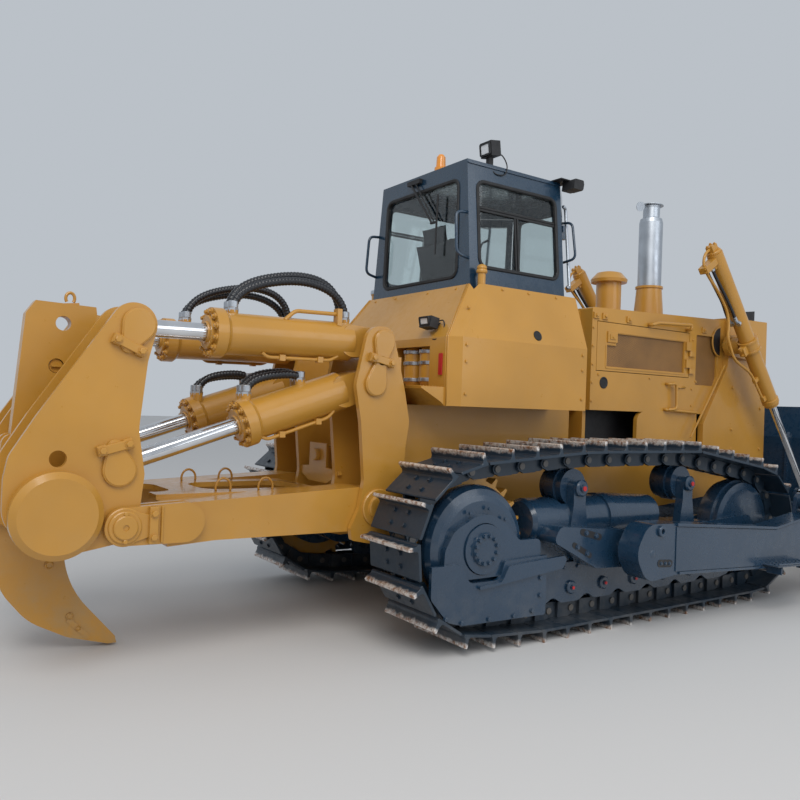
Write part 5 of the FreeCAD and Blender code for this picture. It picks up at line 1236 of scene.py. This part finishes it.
def cushion(name, centre, half, lean, channels=(-0.34, 0.34)):
    """Crowned closed pad over a grid of (u, w): its height follows the root of (1 - u^4)(1 - w^4), its sides
    pull in between the corners, sewn channels run along u, and a welt follows its upper seam. It leans about
    the y axis."""
    rows, cols = 21, 33
    u, w = np.meshgrid(np.linspace(-1, 1, rows), np.linspace(-1, 1, cols), indexing="ij")
    bulge = np.sqrt((1 - u ** 4) * (1 - w ** 4))
    sewn = sum((np.exp(-((w - place) / 0.05) ** 2) for place in channels), 0 * u) * bulge
    x, y = half[0] * u * (0.95 + 0.05 * w ** 2), half[1] * w * (0.95 + 0.05 * u ** 2)
    turn = np.array([(cos(lean), 0, -sin(lean)), (0, 1, 0), (sin(lean), 0, cos(lean))])
    over = half[2] * (0.5 + 0.5 * bulge) - 0.010 * sewn
    under = -half[2] * (0.5 + 0.3 * bulge)
    sheets = [np.stack([x, y, z], axis=-1).reshape(-1, 3) @ turn + centre for z in (over, under)]
    a = (np.arange(rows - 1)[:, None] * cols + np.arange(cols - 1)[None]).ravel()
    top = np.stack([a, a + cols, a + cols + 1, a + 1], axis=1)
    number = np.arange(rows * cols).reshape(rows, cols)
    rim = np.concatenate([number[:-1, 0], number[-1, :-1], number[:0:-1, -1], number[0, :0:-1]])
    after = np.roll(rim, -1)
    walls = np.stack([rim + rows * cols, after + rows * cols, after, rim], axis=1)
    faces = np.vstack([top, top[:, ::-1] + rows * cols, walls]).tolist()
    pad = piece(name, (np.vstack(sheets), faces), CLOTH, "chassis", smooth=True)
    seam = sheets[0][np.append(rim, rim[0])]
    piece(name + "_welt", tube(seam, 0.005, 8), RUBBER, "chassis", smooth=True)
    return pad


def seat():
    """Seat pan, back, headrest and arm pads."""
    back_lean = 1.36
    pan = cushion("seat_pan", at(810, 0, 2380), (0.255, 0.250, 0.075), -0.05)
    cushion("seat_back", at(560, 0, 2700), (0.270, 0.235, 0.066), back_lean)
    cushion("head_rest", at(486, 0, 3016), (0.066, 0.125, 0.050), back_lean, ())
    for name, side in SIDES:
        cushion("arm_rest_" + name, at(740, side * 290, 2590), (0.160, 0.034, 0.030), 0.0, ())
    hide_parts("seat")


push_arm_details()
blade_details()
hull_details()
seat()


# Camera, floor and light

EYE = (-3.37546, -5.16642, 1.60104)         # camera, ahead of the sprocket axle, to the left and up, m
YAW, PITCH_UP, ROLL = radians(55.38513), radians(0.40232), radians(2.04322)
LENS_LENGTH = 34.942


def camera():
    """Camera that was solved from the photo: place, yaw, pitch, roll and focal length."""
    ahead = Vector((cos(PITCH_UP) * cos(YAW), cos(PITCH_UP) * sin(YAW), sin(PITCH_UP)))
    right = Vector((sin(YAW), -cos(YAW), 0))
    up = right.cross(ahead)
    right, up = right * cos(ROLL) + up * sin(ROLL), up * cos(ROLL) - right * sin(ROLL)
    data = bpy.data.cameras.new("camera")
    data.lens = LENS_LENGTH
    data.sensor_width = 36
    obj = bpy.data.objects.new("camera", data)
    turn = Matrix((right, up, -ahead)).transposed().to_4x4()
    obj.matrix_world = Matrix.Translation((EYE[0] - MIDDLE, *EYE[1:])) @ turn
    bpy.context.scene.collection.objects.link(obj)
    bpy.context.scene.camera = obj


def floor(size=60.0):
    """Flat grey floor that reaches size metres to each side."""
    mesh = bpy.data.meshes.new("floor")
    corners = [(-size, -size, 0), (size, -size, 0), (size, size, 0), (-size, size, 0)]
    mesh.from_pydata(corners, [], [(0, 1, 2, 3)])
    obj = bpy.data.objects.new("floor", mesh)
    mesh.materials.append(material("floor_grey", (0.62, 0.61, 0.60), 0.8)[0])
    bpy.context.scene.collection.objects.link(obj)


def lamp(name, place, aim, size, power, tint):
    """Square light of size metres at a place, turned to an aim."""
    data = bpy.data.lights.new(name, "AREA")
    data.shape = "SQUARE"
    data.size = size
    data.energy = power
    data.color = tint
    obj = bpy.data.objects.new(name, data)
    obj.location = place
    obj.rotation_euler = (Vector(aim) - Vector(place)).to_track_quat("-Z", "Y").to_euler()
    bpy.context.scene.collection.objects.link(obj)


def sky(colour=(0.80, 0.86, 0.93), strength=0.62):
    """Even overcast sky."""
    world = bpy.data.worlds.new("sky")
    world.use_nodes = True
    background = world.node_tree.nodes["Background"]
    background.inputs["Color"].default_value = (*colour, 1)
    background.inputs["Strength"].default_value = strength
    bpy.context.scene.world = world


camera()
floor()
sky()
lamp("key", (-7, -9, 12), (0, 0, 1.2), 9, 1150, (1, 0.98, 0.95))
lamp("fill", (4, -12, 6), (0.5, 0, 1.2), 8, 300, (0.93, 0.96, 1))
bpy.context.scene.view_settings.view_transform = "Standard"
